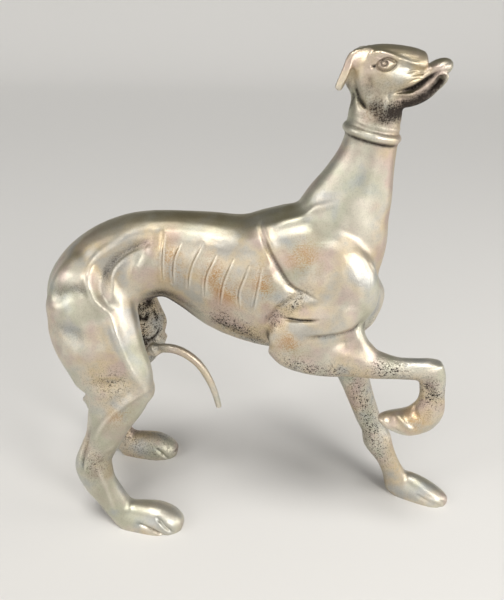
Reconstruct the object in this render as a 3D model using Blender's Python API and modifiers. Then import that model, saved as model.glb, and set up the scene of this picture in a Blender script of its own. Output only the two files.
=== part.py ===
"""Standing greyhound statuette with one forepaw raised, cast in one piece with its collar.

Metres, +Z up, the head towards +X and the dog's left side towards +Y. The origin is on the ground,
under the middle of the dog's bounding box. Every form is a tube or a stroke whose numbers are
millimetres on a dog DESIGN_HEIGHT tall, so the pose and the proportions follow HEIGHT.
"""

import math

import bmesh
import bpy
import numpy as np
from mathutils import Matrix, Vector

# Driving dimensions, in metres
HEIGHT = 0.305
TAIL_THICKNESS = 0.0062
COLLAR_THICKNESS = 0.0048
COLLAR_BAND_THICKNESS = 0.003
EAR_THICKNESS = 0.0034

# One unit is one millimetre on a dog of this height
DESIGN_HEIGHT = 305
UNIT = HEIGHT / DESIGN_HEIGHT

# How finely the joined forms are meshed, in units, and how many triangles the finished dog keeps.
# FINEST_STROKE is the narrowest half width that the mesh still holds.
BODY_VOXEL = 1.7
SKIN_VOXEL = 1
FINEST_STROKE = 1.1
KEPT_TRIANGLES = 9400

# Rounds of smoothing: where the masses meet, where the small forms join them, and after carving
BODY_FILLING, BODY_SOFTENING = 28, 12
JOIN_FILLING, JOIN_SOFTENING = 6, 4
BROAD_SOFTENING, LAST_SOFTENING = 3, 1
SOFTENING_STRENGTH = 0.5
SOFTENING_RETURN = 0.53

NAME = "greyhound"
SILVERED_BRASS = {"color": (0.60, 0.56, 0.48, 1.0), "metallic": 1.0, "roughness": 0.32}
NEAR, FAR = -1, 1

# Tubes: rows of x, y, z, half depth, half width and keel. Depth lies in the plane of the bend and
# width across the dog. A keel above 0 makes the section narrower below, or in front on the neck.
TORSO = (
    (-114, 0, 138, 13, 13, 0),
    (-113, 0, 148, 18.5, 18, 0),
    (-108, 0, 158, 22.5, 22.5, 0),
    (-99, 0, 167, 25, 25.5, 0),
    (-88, 0, 174.3, 26.6, 27, 0),
    (-76.5, 0, 179.8, 27.2, 26, 0),
    (-65, 0, 183.4, 27.2, 24.5, 0.04),
    (-52, 0, 185.3, 26.8, 22.5, 0.08),
    (-31, 0, 180.3, 32.8, 24.5, 0.16),
    (-9, 0, 172.6, 40, 28, 0.22),
    (14, 0, 170.5, 45.5, 29.5, 0.22),
    (36, 0, 172, 47, 28, 0.15),
    (58, 0, 171, 38, 23.5, 0),
    (69, 0, 172, 25, 17, 0),
    (75.5, 0, 175, 12, 9, 0),
)
NECK = (
    (37, 0, 170, 34, 24, 0),
    (44, 0, 186, 34, 22.5, 0),
    (50, 0, 200, 31, 20.5, 0),
    (54.7, 0, 216, 26.3, 18.3, 0),
    (59, 0, 228, 22.4, 16.2, 0),
    (61.9, 0, 238, 18.9, 14.7, 0),
    (64.2, 0, 247, 16.2, 13.7, 0),
    (65.8, 0, 256, 14.7, 13.3, 0),
    (66.3, 0, 264, 14.2, 13.4, 0),
    (67, 0, 272, 14.2, 13, 0),
    (67, 0, 283, 12, 11.5, 0),
)
HIND_LEG = (
    (-92, 11, 184, 16, 12, 0),
    (-94.5, 17, 170, 25, 17, 0),
    (-95, 22, 152, 28.8, 17, 0),
    (-91.5, 26.5, 137, 28.8, 15, 0),
    (-86.5, 29, 124, 27, 13.5, 0),
    (-81.7, 31, 111.5, 25.3, 12.2, 0),
    (-81, 32.5, 101, 20.4, 10.8, 0),
    (-83.3, 33.6, 92, 16.4, 10, 0),
    (-86.5, 34.4, 84, 14, 9.5, 0),
    (-92.5, 35.6, 69, 11.9, 8.8, 0),
    (-98.4, 36.5, 57, 11.2, 8.4, 0),
    (-100.7, 37, 47, 12.6, 8.7, 0),
    (-98.6, 37, 35, 11.6, 8.2, 0),
    (-93, 37, 24, 10.4, 8, 0),
    (-87, 37, 13, 9.4, 8.6, 0),
    (-82, 37, 5, 9.4, 9.4, 0),
)
KNEE = (
    (-70, 28.5, 117, 6, 6, 0),
    (-64.5, 30, 110.5, 6.5, 7, 0),
    (-63.5, 31, 104.5, 6.5, 7, 0),
    (-69, 32.5, 98.5, 6, 6, 0),
)
HIND_PAW = (
    (-88.5, 37, 3, 5, 5, 0),
    (-85, 37, 3.5, 9.5, 8.4, 0),
    (-78.5, 37, 3.5, 13, 9.8, 0),
    (-70, 37, 3, 14, 11, 0),
    (-60, 37, 2.5, 14, 12, 0),
    (-52, 37, 2, 11.5, 11, 0),
    (-46.5, 37, 1.5, 8, 8.5, 0),
    (-43, 37, 1, 4, 5, 0),
)
SHOULDER = (
    (29, 10, 204, 10, 6, 0),
    (38, 14.5, 195, 19, 10, 0),
    (46, 18, 184, 26, 12, 0),
    (50, 19, 170, 27, 12.5, 0),
    (50, 19, 157, 20, 11, 0),
    (50, 19, 148, 10, 7, 0),
)
STANDING_FORELEG = (
    (46, 19, 158, 19, 11, 0),
    (53, 19, 132, 16, 11, 0),
    (62, 18, 111, 12.5, 10, 0),
    (69.2, 17, 93, 10.2, 9, 0),
    (75.2, 15.8, 77, 9, 8.1, 0),
    (80.3, 14.8, 64, 8.5, 7.8, 0),
    (84.8, 14.2, 54.5, 8.1, 7.5, 0),
    (88.3, 14, 45.6, 10.1, 9, 0),
    (91.4, 13.6, 38.8, 9, 8.2, 0),
    (96.2, 13.2, 30, 7.3, 7.1, 0),
    (100.6, 13, 20.5, 7.3, 7.1, 0),
    (104.5, 13, 12, 8.6, 8, 0),
    (107, 13, 5, 9.5, 8.5, 0),
)
FORE_PAW = (
    (100.5, 14, 2, 4, 4.5, 0),
    (105, 14, 2.5, 10.5, 8, 0),
    (113, 12.3, 2.5, 14.2, 9.5, 0),
    (123, 9, 2, 12.4, 10, 0),
    (132, 5.8, 1.5, 8.8, 9.4, 0),
    (138, 4.4, 1, 5.6, 6.8, 0),
    (141, 3.8, 0.5, 2.8, 3.6, 0),
)
UPPER_ARM = (
    (66, 21, 166, 12, 9, 0),
    (54, 23, 162, 15, 11, 0),
    (40, 24, 155, 15.5, 11, 0),
    (27, 24.5, 147, 13, 10, 0),
    (17.5, 24.5, 141, 8, 7.5, 0),
)
RAISED_FORELEG = (
    (14.5, 24.5, 139.5, 5.5, 5.5, 0),
    (24, 24.5, 137, 11.5, 8.6, 0),
    (37, 24.5, 134.5, 13.3, 10, 0),
    (50, 24.5, 133.5, 13.5, 10, 0),
    (64, 24.5, 132.3, 11.6, 9.2, 0),
    (77, 24.5, 129.3, 9, 8.2, 0),
    (90, 24.5, 127.6, 6.8, 6.7, 0),
    (102, 24.5, 127.6, 6.7, 6.6, 0),
    (110, 24.5, 128, 6.7, 6.8, 0),
    (115, 24.5, 128.5, 4.2, 4.6, 0),
)
RAISED_PAW = (
    (111.5, 24.5, 133, 5, 5.5, 0),
    (111.6, 24.5, 124, 7.9, 6.6, 0),
    (112.9, 24.5, 110, 7.6, 6.6, 0),
    (112.3, 24.5, 100, 9.6, 7.6, 0),
    (108, 24.5, 91.8, 11, 8.6, 0),
    (101.5, 24.5, 88.6, 10, 9, 0),
    (94.5, 24.5, 89, 8.4, 8.6, 0),
    (88, 24.5, 89.8, 6.2, 7.2, 0),
    (84.4, 24.5, 90.3, 3.4, 4.6, 0),
)
SKULL = (
    (50, 0, 291, 6, 7, 0),
    (55, 0, 291, 11.5, 12, 0),
    (63, 0, 290.6, 13, 14, 0),
    (72, 0, 290, 12.4, 13.6, 0),
    (80, 0, 289.5, 10, 11.6, 0),
    (87, 0, 290, 6, 9, 0),
)
BROW = (
    (56, 0, 294, 8, 9.5, 0),
    (61, 0, 295, 8.8, 12, 0),
    (67, 0, 295.6, 9.2, 13, 0),
    (74, 0, 295.7, 8.9, 12.6, 0),
    (81, 0, 295.8, 8, 11.3, 0),
    (86.5, 0, 296.2, 6.6, 10, 0),
    (89.6, 0, 296.8, 5, 8.4, 0),
    (90.8, 0, 297, 3.8, 6.8, 0),
)
MUZZLE = (
    (74, 0, 288.5, 8, 11.8, 0),
    (82, 0, 287.8, 6.6, 10.2, 0),
    (87, 0, 288.6, 5, 8.8, 0),
    (90.5, 0, 290.2, 4.1, 7.9, 0),
    (94, 0, 292.1, 4, 7.5, 0),
    (97, 0, 293.6, 4.2, 7.4, 0),
    (100, 0, 294.3, 4.2, 6.8, 0),
    (102.4, 0, 294.1, 3.4, 5.2, 0),
    (103.8, 0, 293.8, 1.9, 2.8, 0),
)
JAW = (
    (62, 0, 284, 9, 10, 0),
    (72, 0, 279.5, 6.3, 9.8, 0),
    (80, 0, 277.6, 4.2, 9, 0),
    (87, 0, 279.1, 4.1, 8.2, 0),
    (92.5, 0, 282.3, 4, 7.4, 0),
    (96.4, 0, 286, 3.4, 6.6, 0),
    (99, 0, 288.7, 2.6, 5.8, 0),
    (100.8, 0, 290.2, 1.5, 4.2, 0),
)
LIP = (
    (73.9, 9.6, 280.7, 1, 1, 0),
    (77.9, 9.2, 281.8, 1.2, 1.2, 0),
    (82.1, 8.6, 281.5, 1.3, 1.3, 0),
    (85.6, 8, 282.2, 1.3, 1.3, 0),
    (89.9, 7.5, 284.6, 1.3, 1.3, 0),
    (93.1, 7.1, 287.6, 1.2, 1.2, 0),
    (95.2, 6.8, 290.1, 1.1, 1.1, 0),
    (97.6, 6.3, 291.4, 1, 1, 0),
    (99.9, 5.6, 291, 1, 1, 0),
    (100.9, 5.1, 289.3, 1, 1, 0),
    (100, 4.9, 287.1, 1, 1, 0),
    (98.5, 4.7, 284.9, 0.9, 0.9, 0),
    (97.2, 4.2, 283.4, 0.8, 0.8, 0),
)

# The ear has a broad root and a narrow flap that hangs from it. Its half thickness is a size of its
# own, so the rows give x, y, z and half width.
EAR_ROOT = (
    (66, 5.5, 298.4, 3.4),
    (61.5, 8, 299, 4.6),
    (57, 10, 298.7, 4.8),
    (53.2, 11.5, 298.4, 4.2),
    (51.8, 12, 298.8, 3.2),
)
EAR = (
    (53, 11.2, 301, 2),
    (51.6, 12, 298, 2.4),
    (50.2, 12.8, 294.2, 2.3),
    (48.6, 13.5, 290, 2.3),
    (46.9, 13.9, 286, 2.2),
    (45.8, 14.1, 283.9, 1.6),
)
EAR_LEAN = 0.25

# Tail: x, y, z and thickness as a share of TAIL_THICKNESS
TAIL = (
    (-108, 0, 158, 1.6),
    (-117, 0, 150, 1.6),
    (-120.5, 0, 141, 1.5),
    (-115.5, 0, 131, 1.3),
    (-104, 0, 122, 1.15),
    (-90, 0, 115.5, 1.05),
    (-74, 0, 113.5, 1),
    (-58, 0, 118, 1),
    (-46, 0, 116, 0.96),
    (-35, 0, 107.5, 0.9),
    (-28, 0, 95, 0.82),
    (-24, 0, 83, 0.72),
    (-22, 0, 73.5, 0.64),
)

# Collar: rings round the neck, their middles in x and z, and the slope that lifts them at the nape
COLLAR_MIDDLE = (66, 260.5)
COLLAR_RADIUS = 16.4
BAND_MIDDLE = (66.9, 265.4)
BAND_RADIUS = 14.4
COLLAR_SLOPE = math.radians(12.3)

# The left hind leg stands further back than the right one: how far, against height
SETBACK_HEIGHTS = (0, 32, 46, 58, 80, 100, 112, 150, 190)
SETBACKS = (20, 19.5, 22, 18, 13.5, 8, 7.5, 5, 0)
FAR_SHOULDER_SETBACK = 5

# Broad carving: side, half width, depth (below 0 for a ridge) and points in side view or in space
BROAD_STROKES = (
    ((NEAR, FAR), 4.6, 2.8, ((-53, 202), (-66, 195.5), (-78, 188), (-84, 180), (-83, 171), (-79, 164))),
    ((NEAR, FAR), 7, 1.3, ((-58, 196), (-66, 188), (-75, 180))),
    ((NEAR, FAR), 2.6, -1.5, ((-75, 199), (-88, 189), (-92, 180), (-89, 170), (-83, 163), (-79, 158))),
    ((NEAR, FAR), 4.6, 2.4, ((-114, 165), (-105, 169.5), (-97, 171.5), (-84, 168.5))),
    ((NEAR, FAR), 4.5, -1.2, ((-121, 158), (-108, 158.5), (-99, 157))),
    ((NEAR, FAR), 5, 1.9, ((-122, 150), (-106, 149), (-96, 145))),
    ((NEAR, FAR), 8, -1, ((-112, 136), (-98, 133))),
    ((NEAR, FAR), 3.2, -2.2, ((-79, 160), (-75.5, 147), (-72, 136), (-67.5, 124), (-61.5, 109.5))),
    ((NEAR, FAR), 4.5, 1.8, ((-92, 113), (-80, 116), (-69, 117))),
    ((NEAR, FAR), 3.2, -1.7, ((-61, 108.5), (-75, 103.5), (-87, 93.5), (-93, 82), (-97, 69))),
    ((NEAR, FAR), 3.5, 0.9, ((-97, 88), (-101, 72), (-105, 58))),
    ((NEAR, FAR), 2.8, 0.9, ((-92, 54), (-84, 64))),
    ((NEAR, FAR), 2.4, -1.3, ((-95, 53), (-92, 34), (-85, 14))),
    ((NEAR, FAR), 4.5, 1.5, ((5, 206), (13, 190), (21, 179), (28, 173))),
    ((NEAR, FAR), 2.4, -0.9, ((10, 210), (17, 196), (26, 184))),
    ((NEAR, FAR), 2.6, -0.9, ((14, 209), (32, 215.5))),
    ((NEAR, FAR), 2.8, -0.9, ((22, 214), (38, 221), (48, 224))),
    ((NEAR,), 2.4, 1.6, ((33, 176), (20, 165), (11, 151))),
    ((NEAR,), 2, -1, ((42, 174), (23, 165.5))),
    ((NEAR,), 2.6, -1, ((21, 157), (15, 147), (14, 141))),
    ((NEAR,), 2.4, 1, ((34, 150.5), (48, 151), (62, 153.5), (68, 160))),
    ((NEAR, FAR), 3, 1.6, ((15, 194), (19.5, 186), (25.5, 178.5), (31, 174.5))),
    ((NEAR, FAR), 5, 1.1, ((50, 215), (60.5, 206), (69, 198), (74, 184))),
    ((NEAR,), 3, 1.6, ((108, 121), (112, 112), (111.5, 104))),
    ((NEAR,), 1.6, -1.3, ((90, 98.5), (97, 93.2), (104, 88.5))),
    ((NEAR,), 1.8, 1.2, ((104, 108), (102.4, 101.5), (105.5, 97))),
    ((NEAR,), 2.8, 1.8, ((86, 93.5), (91.5, 91.5), (98, 87.5))),
    ((NEAR,), 1.3, -1, ((84, 89), (90, 86), (98, 83), (107, 84.5))),
    ((FAR,), 2.6, -0.9, ((78.5, 53), (86, 55.5), (96, 53))),
    ((NEAR, FAR), 2, 1.2, ((53.4, 291), (55, 284), (57.6, 278.4), (61.5, 274))),
    ((NEAR, FAR), 2.4, 1.1, ((60, 291), (61.8, 287), (63, 283))),
    ((NEAR, FAR), 2.8, -0.9, ((65.5, 295.8), (71, 296.4))),
    ((NEAR, FAR), 1.2, -0.9, ((61, 299.6), (65, 301.4), (72, 299.8), (81, 296.8), (88.6, 295.2))),
    ((NEAR, FAR), 2, 0.9, ((77, 296), (83, 294), (89, 292.6))),
    ((NEAR,), 1.2, 1, ((91.2, -6.5, 293), (91.6, 0, 294.4), (91.2, 6.5, 293))),
    ((NEAR, FAR), 1.1, 1.6, ((78, 282.5), (83, 283.5), (87, 285.8), (90, 288.2))),
)

# Fine carving, in the same form
RIB_SLOTS = (
    ((-48, 204), (-50, 177)),
    ((-38, 200), (-42, 191), (-44, 175)),
    ((-25, 201), (-32, 187), (-35, 173)),
    ((-17, 195), (-23, 183), (-25, 169)),
    ((-7, 194), (-13, 180), (-16, 164)),
    ((2, 191), (-4, 175), (-4, 164)),
    ((9, 190), (6, 174), (4, 163)),
)
RIB_WIDTH, RIB_DEPTH = 0.75, 1.4
RIB_LIP_WIDTH, RIB_LIP_HEIGHT = 1.7, 0.45
FINE_STROKES = (
    ((NEAR, FAR), 0.8, 0.8, ((8, 211), (13.7, 198.5), (22, 185.6), (27, 179), (32.7, 175.9))),
    ((NEAR,), 1, 0.7, ((27.5, 177.7), (41, 173.2))),
    ((NEAR,), 0.9, 1.5, ((21.5, 159.6), (31, 160.3), (42, 161.6))),
    ((NEAR,), 1, 0.8, ((35, 150.7), (48, 151.1), (62, 153.5), (67, 159))),
    ((NEAR, FAR), 1.2, 1.3, ((-97, 84), (-101, 71.5), (-105, 59), (-107, 48))),
    ((NEAR, FAR), 1, -0.6, ((-98, 66), (-102, 57), (-104, 48))),
    ((NEAR, FAR), 0.9, 1.3, ((54.4, 287), (55.4, 283), (57.6, 278.4), (61.9, 273.5))),
    ((NEAR, FAR), 0.7, 1.3, ((75, 282), (80, 283), (84, 284), (88, 286.4), (92, 289.8), (96, 292.2))),
    ((NEAR, FAR), 1.6, 2.8, ((93.4, 7, 282.6), (95.8, 6.6, 285.6), (97.6, 6.2, 288.3), (98.9, 5.9, 290))),
    ((NEAR, FAR), 0.7, -0.5, ((96.4, 6.7, 291.4), (99.9, 5.8, 291.3), (101.2, 5.2, 289.3), (99.4, 5, 286))),
    ((NEAR, FAR), 0.7, -0.7, ((46.6, 284.4), (50, 291.4), (52.3, 297.6))),
    ((NEAR, FAR), 0.7, 0.7, ((64.2, 295.4), (61.6, 294.7))),
)
TOE_GAP_WIDTH, TOE_GAP_DEPTH = 1.2, 1.9
HIND_TOE_GAPS = (
    ((-71, 10.4, 8), (-68.5, 10.8, 7), (-62, 11.9, 5.2), (-56, 11.7, 1.5), (-53, 10.5, 0)),
    ((-58, 8.2, 12), (-55.5, 8.8, 10.3), (-52, 10.2, 6.3), (-48, 9.3, 1.4)),
    ((-56, -4.6, 14), (-52, -4.1, 12.7), (-47, -1.5, 9.8), (-44, 1.2, 6), (-42.5, 1, 0)),
    ((-58, -9, 10), (-53, -9.8, 6), (-49, -9, 1.4)),
)
FORE_TOE_GAPS = (
    ((114, 2.8, 9), (118, 1.8, 7.6), (123, 0, 5.1), (133, -1.8, 2.5), (136, -1.4, 0)),
    ((118, 3.6, 10.2), (123, 2.4, 8.4), (129.5, 0.3, 6), (137, 0, 3), (139, 0.6, 0)),
    ((122, 16.5, 8), (130, 14, 5), (136, 10, 2), (138, 9, 0)),
)
RAISED_TOE_GAPS = (
    ((103, 20, 80), (93, 20.5, 82.5), (86, 21.5, 86.5)),
    ((104, 24.5, 79), (93, 24.5, 81), (84, 24.5, 86)),
    ((103, 29, 80), (93, 28.5, 82.5), (86, 27.5, 86.5)),
    ((97, 31.5, 86), (91, 30, 88), (85, 27.5, 90.5)),
)

# Almond eye: middle in side view, half length, half height and tilt, and the line cut round it
EYE_MIDDLE = (68.8, 296)
EYE_REACH = (5.8, 3.1)
EYE_TILT = math.radians(5.6)
EYE_LINE = 0.9
EYE_DEPTH = 0.8


def between(stations, steps):
    """Rows of a smooth curve through the stations, with this many steps from each to the next."""
    rows = np.array(stations, float)
    ends = np.vstack([2 * rows[0] - rows[1], rows, 2 * rows[-1] - rows[-2]])
    curve = []
    for a, b, c, d in zip(ends, ends[1:], ends[2:], ends[3:]):
        for t in np.arange(steps) / steps:
            bend = (2 * a - 5 * b + 4 * c - d) * t**2 + (3 * b - a - 3 * c + d) * t**3
            curve.append(b + 0.5 * ((c - a) * t + bend))
    curve.append(rows[-1])
    return np.array(curve)


def tube(bm, stations, across=(0, 1, 0), sides=20, steps=3):
    """A closed tube of oval rings along the stations, each ring square to the path."""
    rows = between(stations, steps)
    tangents = np.gradient(rows[:, :3], axis=0)
    loops = []
    for number, (row, tangent) in enumerate(zip(rows, tangents)):
        along = Vector(tangent).normalized()
        sideways = (Vector(across) - along * along.dot(Vector(across))).normalized()
        turn = Matrix((sideways.cross(along), sideways, along)).transposed().to_4x4()
        at_end = number in (0, len(rows) - 1)
        ring = bmesh.ops.create_circle(bm, segments=sides, radius=1, cap_ends=at_end)["verts"]
        for vert in ring:
            vert.co.y *= 1 - row[5] * vert.co.x
        size = Matrix.Diagonal((max(row[3], 0.3), max(row[4], 0.3), 1, 1))
        place = Matrix.Scale(UNIT, 4) @ Matrix.Translation(Vector(row[:3])) @ turn @ size
        bmesh.ops.transform(bm, matrix=place, verts=ring)
        loops.append({edge for vert in ring for edge in vert.link_edges})
    for lower, upper in zip(loops, loops[1:]):
        bmesh.ops.bridge_loops(bm, edges=list(lower | upper))


def mirrored(stations):
    """The same rows on the dog's right side."""
    return [(row[0], -row[1], *row[2:]) for row in stations]


def set_back(stations):
    """Rows of the right hind leg moved to where the left one stands."""
    return [(row[0] - np.interp(row[2], SETBACK_HEIGHTS, SETBACKS), *row[1:]) for row in stations]


def add_ear(bm, side):
    """A folded-back ear flap, free of the neck below its root."""
    half_thickness = EAR_THICKNESS / UNIT / 2
    for part in (EAR_ROOT, EAR):
        rows = [(x, side * y, z, half_width, half_thickness, 0) for x, y, z, half_width in part]
        tube(bm, rows, across=(EAR_LEAN, side, 0))


def add_tail(bm):
    """The tail, which drops behind the rump and curls forward between the hind legs."""
    half = TAIL_THICKNESS / UNIT / 2
    tube(bm, [(x, y, z, half * share, half * share, 0) for x, y, z, share in TAIL], sides=14)


def add_ring(bm, middle, radius, thickness):
    """A round ring about the neck, tilted with the collar; radius is to its outside."""
    half = thickness / 2
    bpy.ops.mesh.primitive_torus_add(
        major_radius=radius * UNIT - half, minor_radius=half, major_segments=64, minor_segments=16
    )
    ring = bpy.context.object
    centre = Vector((middle[0], 0, middle[1])) * UNIT
    place = Matrix.Translation(centre) @ Matrix.Rotation(COLLAR_SLOPE, 4, "Y")
    ring.data.transform(place)
    bm.from_mesh(ring.data)
    drop(ring)


def drop(thing):
    """Removes a helper object and its mesh."""
    mesh = thing.data
    bpy.data.objects.remove(thing)
    bpy.data.meshes.remove(mesh)


def as_object(bm):
    """A new object that holds the mesh, its faces turned outwards."""
    bmesh.ops.recalc_face_normals(bm, faces=bm.faces)
    mesh = bpy.data.meshes.new(NAME)
    bm.to_mesh(mesh)
    bm.free()
    thing = bpy.data.objects.new(NAME, mesh)
    bpy.context.collection.objects.link(thing)
    return thing


def applied(thing, kind, **settings):
    """The object with one modifier applied to its mesh."""
    modifier = thing.modifiers.new(kind, kind)
    for setting, value in settings.items():
        setattr(modifier, setting, value)
    evaluated = thing.evaluated_get(bpy.context.evaluated_depsgraph_get())
    finished = bpy.data.meshes.new_from_object(evaluated)
    before = thing.data
    thing.modifiers.clear()
    thing.data = finished
    bpy.data.meshes.remove(before)
    return thing


def joined(thing, voxel):
    """One skin round all of the object's overlapping forms."""
    return applied(thing, "REMESH", mode="VOXEL", voxel_size=voxel, adaptivity=0)


class Skin:
    """The points of a mesh as arrays, in design units, for smoothing and carving by hand."""

    def __init__(self, mesh):
        self.mesh = mesh
        self.points = np.empty((len(mesh.vertices), 3), np.float32)
        mesh.vertices.foreach_get("co", self.points.ravel())
        self.points = self.points.astype(float) / UNIT
        edges = np.empty((len(mesh.edges), 2), np.int32)
        mesh.edges.foreach_get("vertices", edges.ravel())
        self.ends = np.concatenate([edges[:, 0], edges[:, 1]])
        self.others = np.concatenate([edges[:, 1], edges[:, 0]])
        self.valence = np.bincount(self.ends, minlength=len(self.points))[:, None]

    def write(self):
        """Puts the points back into the mesh."""
        self.mesh.vertices.foreach_set("co", (self.points * UNIT).astype(np.float32).ravel())
        self.mesh.update()

    def normals(self):
        """The outward direction at each point."""
        self.write()
        found = np.empty((len(self.points), 3), np.float32)
        self.mesh.vertex_normals.foreach_get("vector", found.ravel())
        return found.astype(float)

    def pull(self):
        """How far each point is from the middle of its neighbours."""
        near = self.points[self.others]
        total = [np.bincount(self.ends, near[:, axis], len(self.points)) for axis in range(3)]
        return np.array(total).T / self.valence - self.points

    def soften(self, rounds):
        """Smooths without shrinking: each step in is followed by a slightly longer one out."""
        for _ in range(rounds):
            self.points += SOFTENING_STRENGTH * self.pull()
            self.points -= SOFTENING_RETURN * self.pull()

    def fill_creases(self, rounds):
        """Fills the sharp inner corners where forms meet, and leaves the outer ones."""
        for _ in range(rounds):
            out = self.normals()
            pull = self.pull()
            rise = np.einsum("ij,ij->i", pull, out)[:, None]
            self.points += SOFTENING_STRENGTH * (pull - rise * out + np.clip(rise, 0, None) * out)

    def nearness(self, line, half_width, fades=True):
        """1 on a line and 0 well away from it, fading towards the line's ends."""
        flat = self.points if line.shape[1] == 3 else self.points[:, (0, 2)]
        margin = 3 * half_width
        by_line = np.all((flat > line.min(axis=0) - margin) & (flat < line.max(axis=0) + margin), axis=1)
        flat = flat[by_line]
        nearest = np.full(len(flat), np.inf)
        reached = np.zeros(len(flat))
        for number, (start, end) in enumerate(zip(line, line[1:])):
            run = end - start
            share = np.clip((flat - start) @ run / (run @ run), 0, 1)
            gap = np.linalg.norm(flat - start - share[:, None] * run, axis=1)
            closer = gap < nearest
            nearest[closer] = gap[closer]
            reached[closer] = (number + share[closer]) / (len(line) - 1)
        fade = np.clip(np.minimum(reached, 1 - reached) * 5, 0, 1) if fades else 1
        weight = np.zeros(len(self.points))
        weight[by_line] = np.exp(-((nearest / half_width) ** 2)) * (0.35 + 0.65 * fade)
        return weight

    def carve(self, sides, half_width, depth, line, fades=True):
        """Presses a stroke into the skin, or raises a ridge where its depth is below 0."""
        curve = between(line, 4)
        out = self.normals()
        for side in sides:
            if curve.shape[1] == 3:
                weight = self.nearness(curve * (1, side, 1), half_width, fades)
            else:
                facing = np.clip(3 * side * out[:, 1], 0, 1) * (side * self.points[:, 1] > 0)
                weight = self.nearness(curve, half_width, fades) * facing
            self.points -= depth * weight[:, None] * out


def toe_lines():
    """The grooves between the toes of the three paws that stand and of the raised one."""
    lines = []
    for gap in HIND_TOE_GAPS:
        lines.append((NEAR, [(x, 37 + out, z) for x, out, z in gap]))
        lines.append((FAR, [(x - SETBACKS[0], 37 + out, z) for x, out, z in gap]))
    lines += [(FAR, line) for line in FORE_TOE_GAPS]
    lines += [(NEAR, line) for line in RAISED_TOE_GAPS]
    return lines


def eye_line():
    """The eye's outline, a closed almond in side view that is drawn in at its corners."""
    turn = np.linspace(0, 2 * math.pi, 25)
    along = EYE_REACH[0] * np.cos(turn)
    up = EYE_REACH[1] * np.sin(turn) * (1 - 0.35 * np.cos(turn) ** 2)
    cos, sin = math.cos(EYE_TILT), math.sin(EYE_TILT)
    return np.array((along * cos - up * sin, along * sin + up * cos)).T + EYE_MIDDLE


def build_body():
    """The big masses, run together so that one flows into the next."""
    bm = bmesh.new()
    tube(bm, TORSO, sides=28)
    tube(bm, NECK, sides=24)
    for side_of, place in ((mirrored, list), (list, set_back)):
        tube(bm, place(side_of(HIND_LEG)))
        tube(bm, place(side_of(HIND_PAW)))
    tube(bm, mirrored(SHOULDER))
    tube(bm, [(row[0] - FAR_SHOULDER_SETBACK, *row[1:]) for row in SHOULDER])
    tube(bm, STANDING_FORELEG)
    tube(bm, FORE_PAW)
    tube(bm, mirrored(UPPER_ARM))
    tube(bm, mirrored(RAISED_FORELEG))
    tube(bm, mirrored(RAISED_PAW))
    tube(bm, SKULL)
    for place in (mirrored(KNEE), set_back(KNEE)):
        tube(bm, place, sides=14)
    body = joined(as_object(bm), BODY_VOXEL * UNIT)
    skin = Skin(body.data)
    skin.fill_creases(BODY_FILLING)
    skin.soften(BODY_SOFTENING)
    skin.write()
    return body


def add_small_forms(body):
    """The body with the jaws, ears, tail and collar joined on, in a finer skin."""
    bm = bmesh.new()
    bm.from_mesh(body.data)
    drop(body)
    tube(bm, BROW)
    tube(bm, MUZZLE)
    tube(bm, JAW)
    for side, lip in ((NEAR, mirrored(LIP)), (FAR, LIP)):
        tube(bm, lip, sides=10)
        add_ear(bm, side)
    add_tail(bm)
    add_ring(bm, COLLAR_MIDDLE, COLLAR_RADIUS, COLLAR_THICKNESS)
    add_ring(bm, BAND_MIDDLE, BAND_RADIUS, COLLAR_BAND_THICKNESS)
    return joined(as_object(bm), SKIN_VOXEL * UNIT)


def carve_all(dog):
    """Everything that is sunk into the skin or stands up from it, coarse work first."""
    skin = Skin(dog.data)
    skin.fill_creases(JOIN_FILLING)
    skin.soften(JOIN_SOFTENING)
    for sides, half_width, depth, line in BROAD_STROKES:
        skin.carve(sides, max(half_width, FINEST_STROKE), depth, line)
    skin.soften(BROAD_SOFTENING)
    for line in RIB_SLOTS:
        skin.carve((NEAR, FAR), RIB_LIP_WIDTH, -RIB_LIP_HEIGHT, line)
        skin.carve((NEAR, FAR), max(RIB_WIDTH, FINEST_STROKE), RIB_DEPTH, line)
    for sides, half_width, depth, line in FINE_STROKES:
        skin.carve(sides, max(half_width, FINEST_STROKE), depth, line)
    for side, line in toe_lines():
        skin.carve((side,), TOE_GAP_WIDTH, TOE_GAP_DEPTH, line)
    skin.carve((NEAR, FAR), EYE_LINE, EYE_DEPTH, eye_line(), False)
    skin.soften(LAST_SOFTENING)
    skin.write()


def stand(dog):
    """Flat soles on the ground, and the origin under the middle of the dog."""
    bm = bmesh.new()
    bm.from_mesh(dog.data)
    everything = bm.verts[:] + bm.edges[:] + bm.faces[:]
    cut = bmesh.ops.bisect_plane(
        bm, geom=everything, plane_co=(0, 0, 0), plane_no=(0, 0, 1), clear_inner=True
    )
    rims = [piece for piece in cut["geom_cut"] if isinstance(piece, bmesh.types.BMEdge)]
    bmesh.ops.triangle_fill(bm, edges=rims, use_beauty=True, normal=(0, 0, -1))
    corners = np.array([vert.co for vert in bm.verts])
    middle = (corners.min(axis=0) + corners.max(axis=0)) / 2
    bmesh.ops.translate(bm, verts=bm.verts, vec=(-middle[0], -middle[1], 0))
    bmesh.ops.triangulate(bm, faces=bm.faces)
    bm.to_mesh(dog.data)
    bm.free()


def finish(name, color, metallic, roughness):
    """A plain metal for the casting."""
    material = bpy.data.materials.new(name)
    material.use_nodes = True
    shader = material.node_tree.nodes["Principled BSDF"]
    shader.inputs["Base Color"].default_value = color
    shader.inputs["Metallic"].default_value = metallic
    shader.inputs["Roughness"].default_value = roughness
    return material


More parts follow.
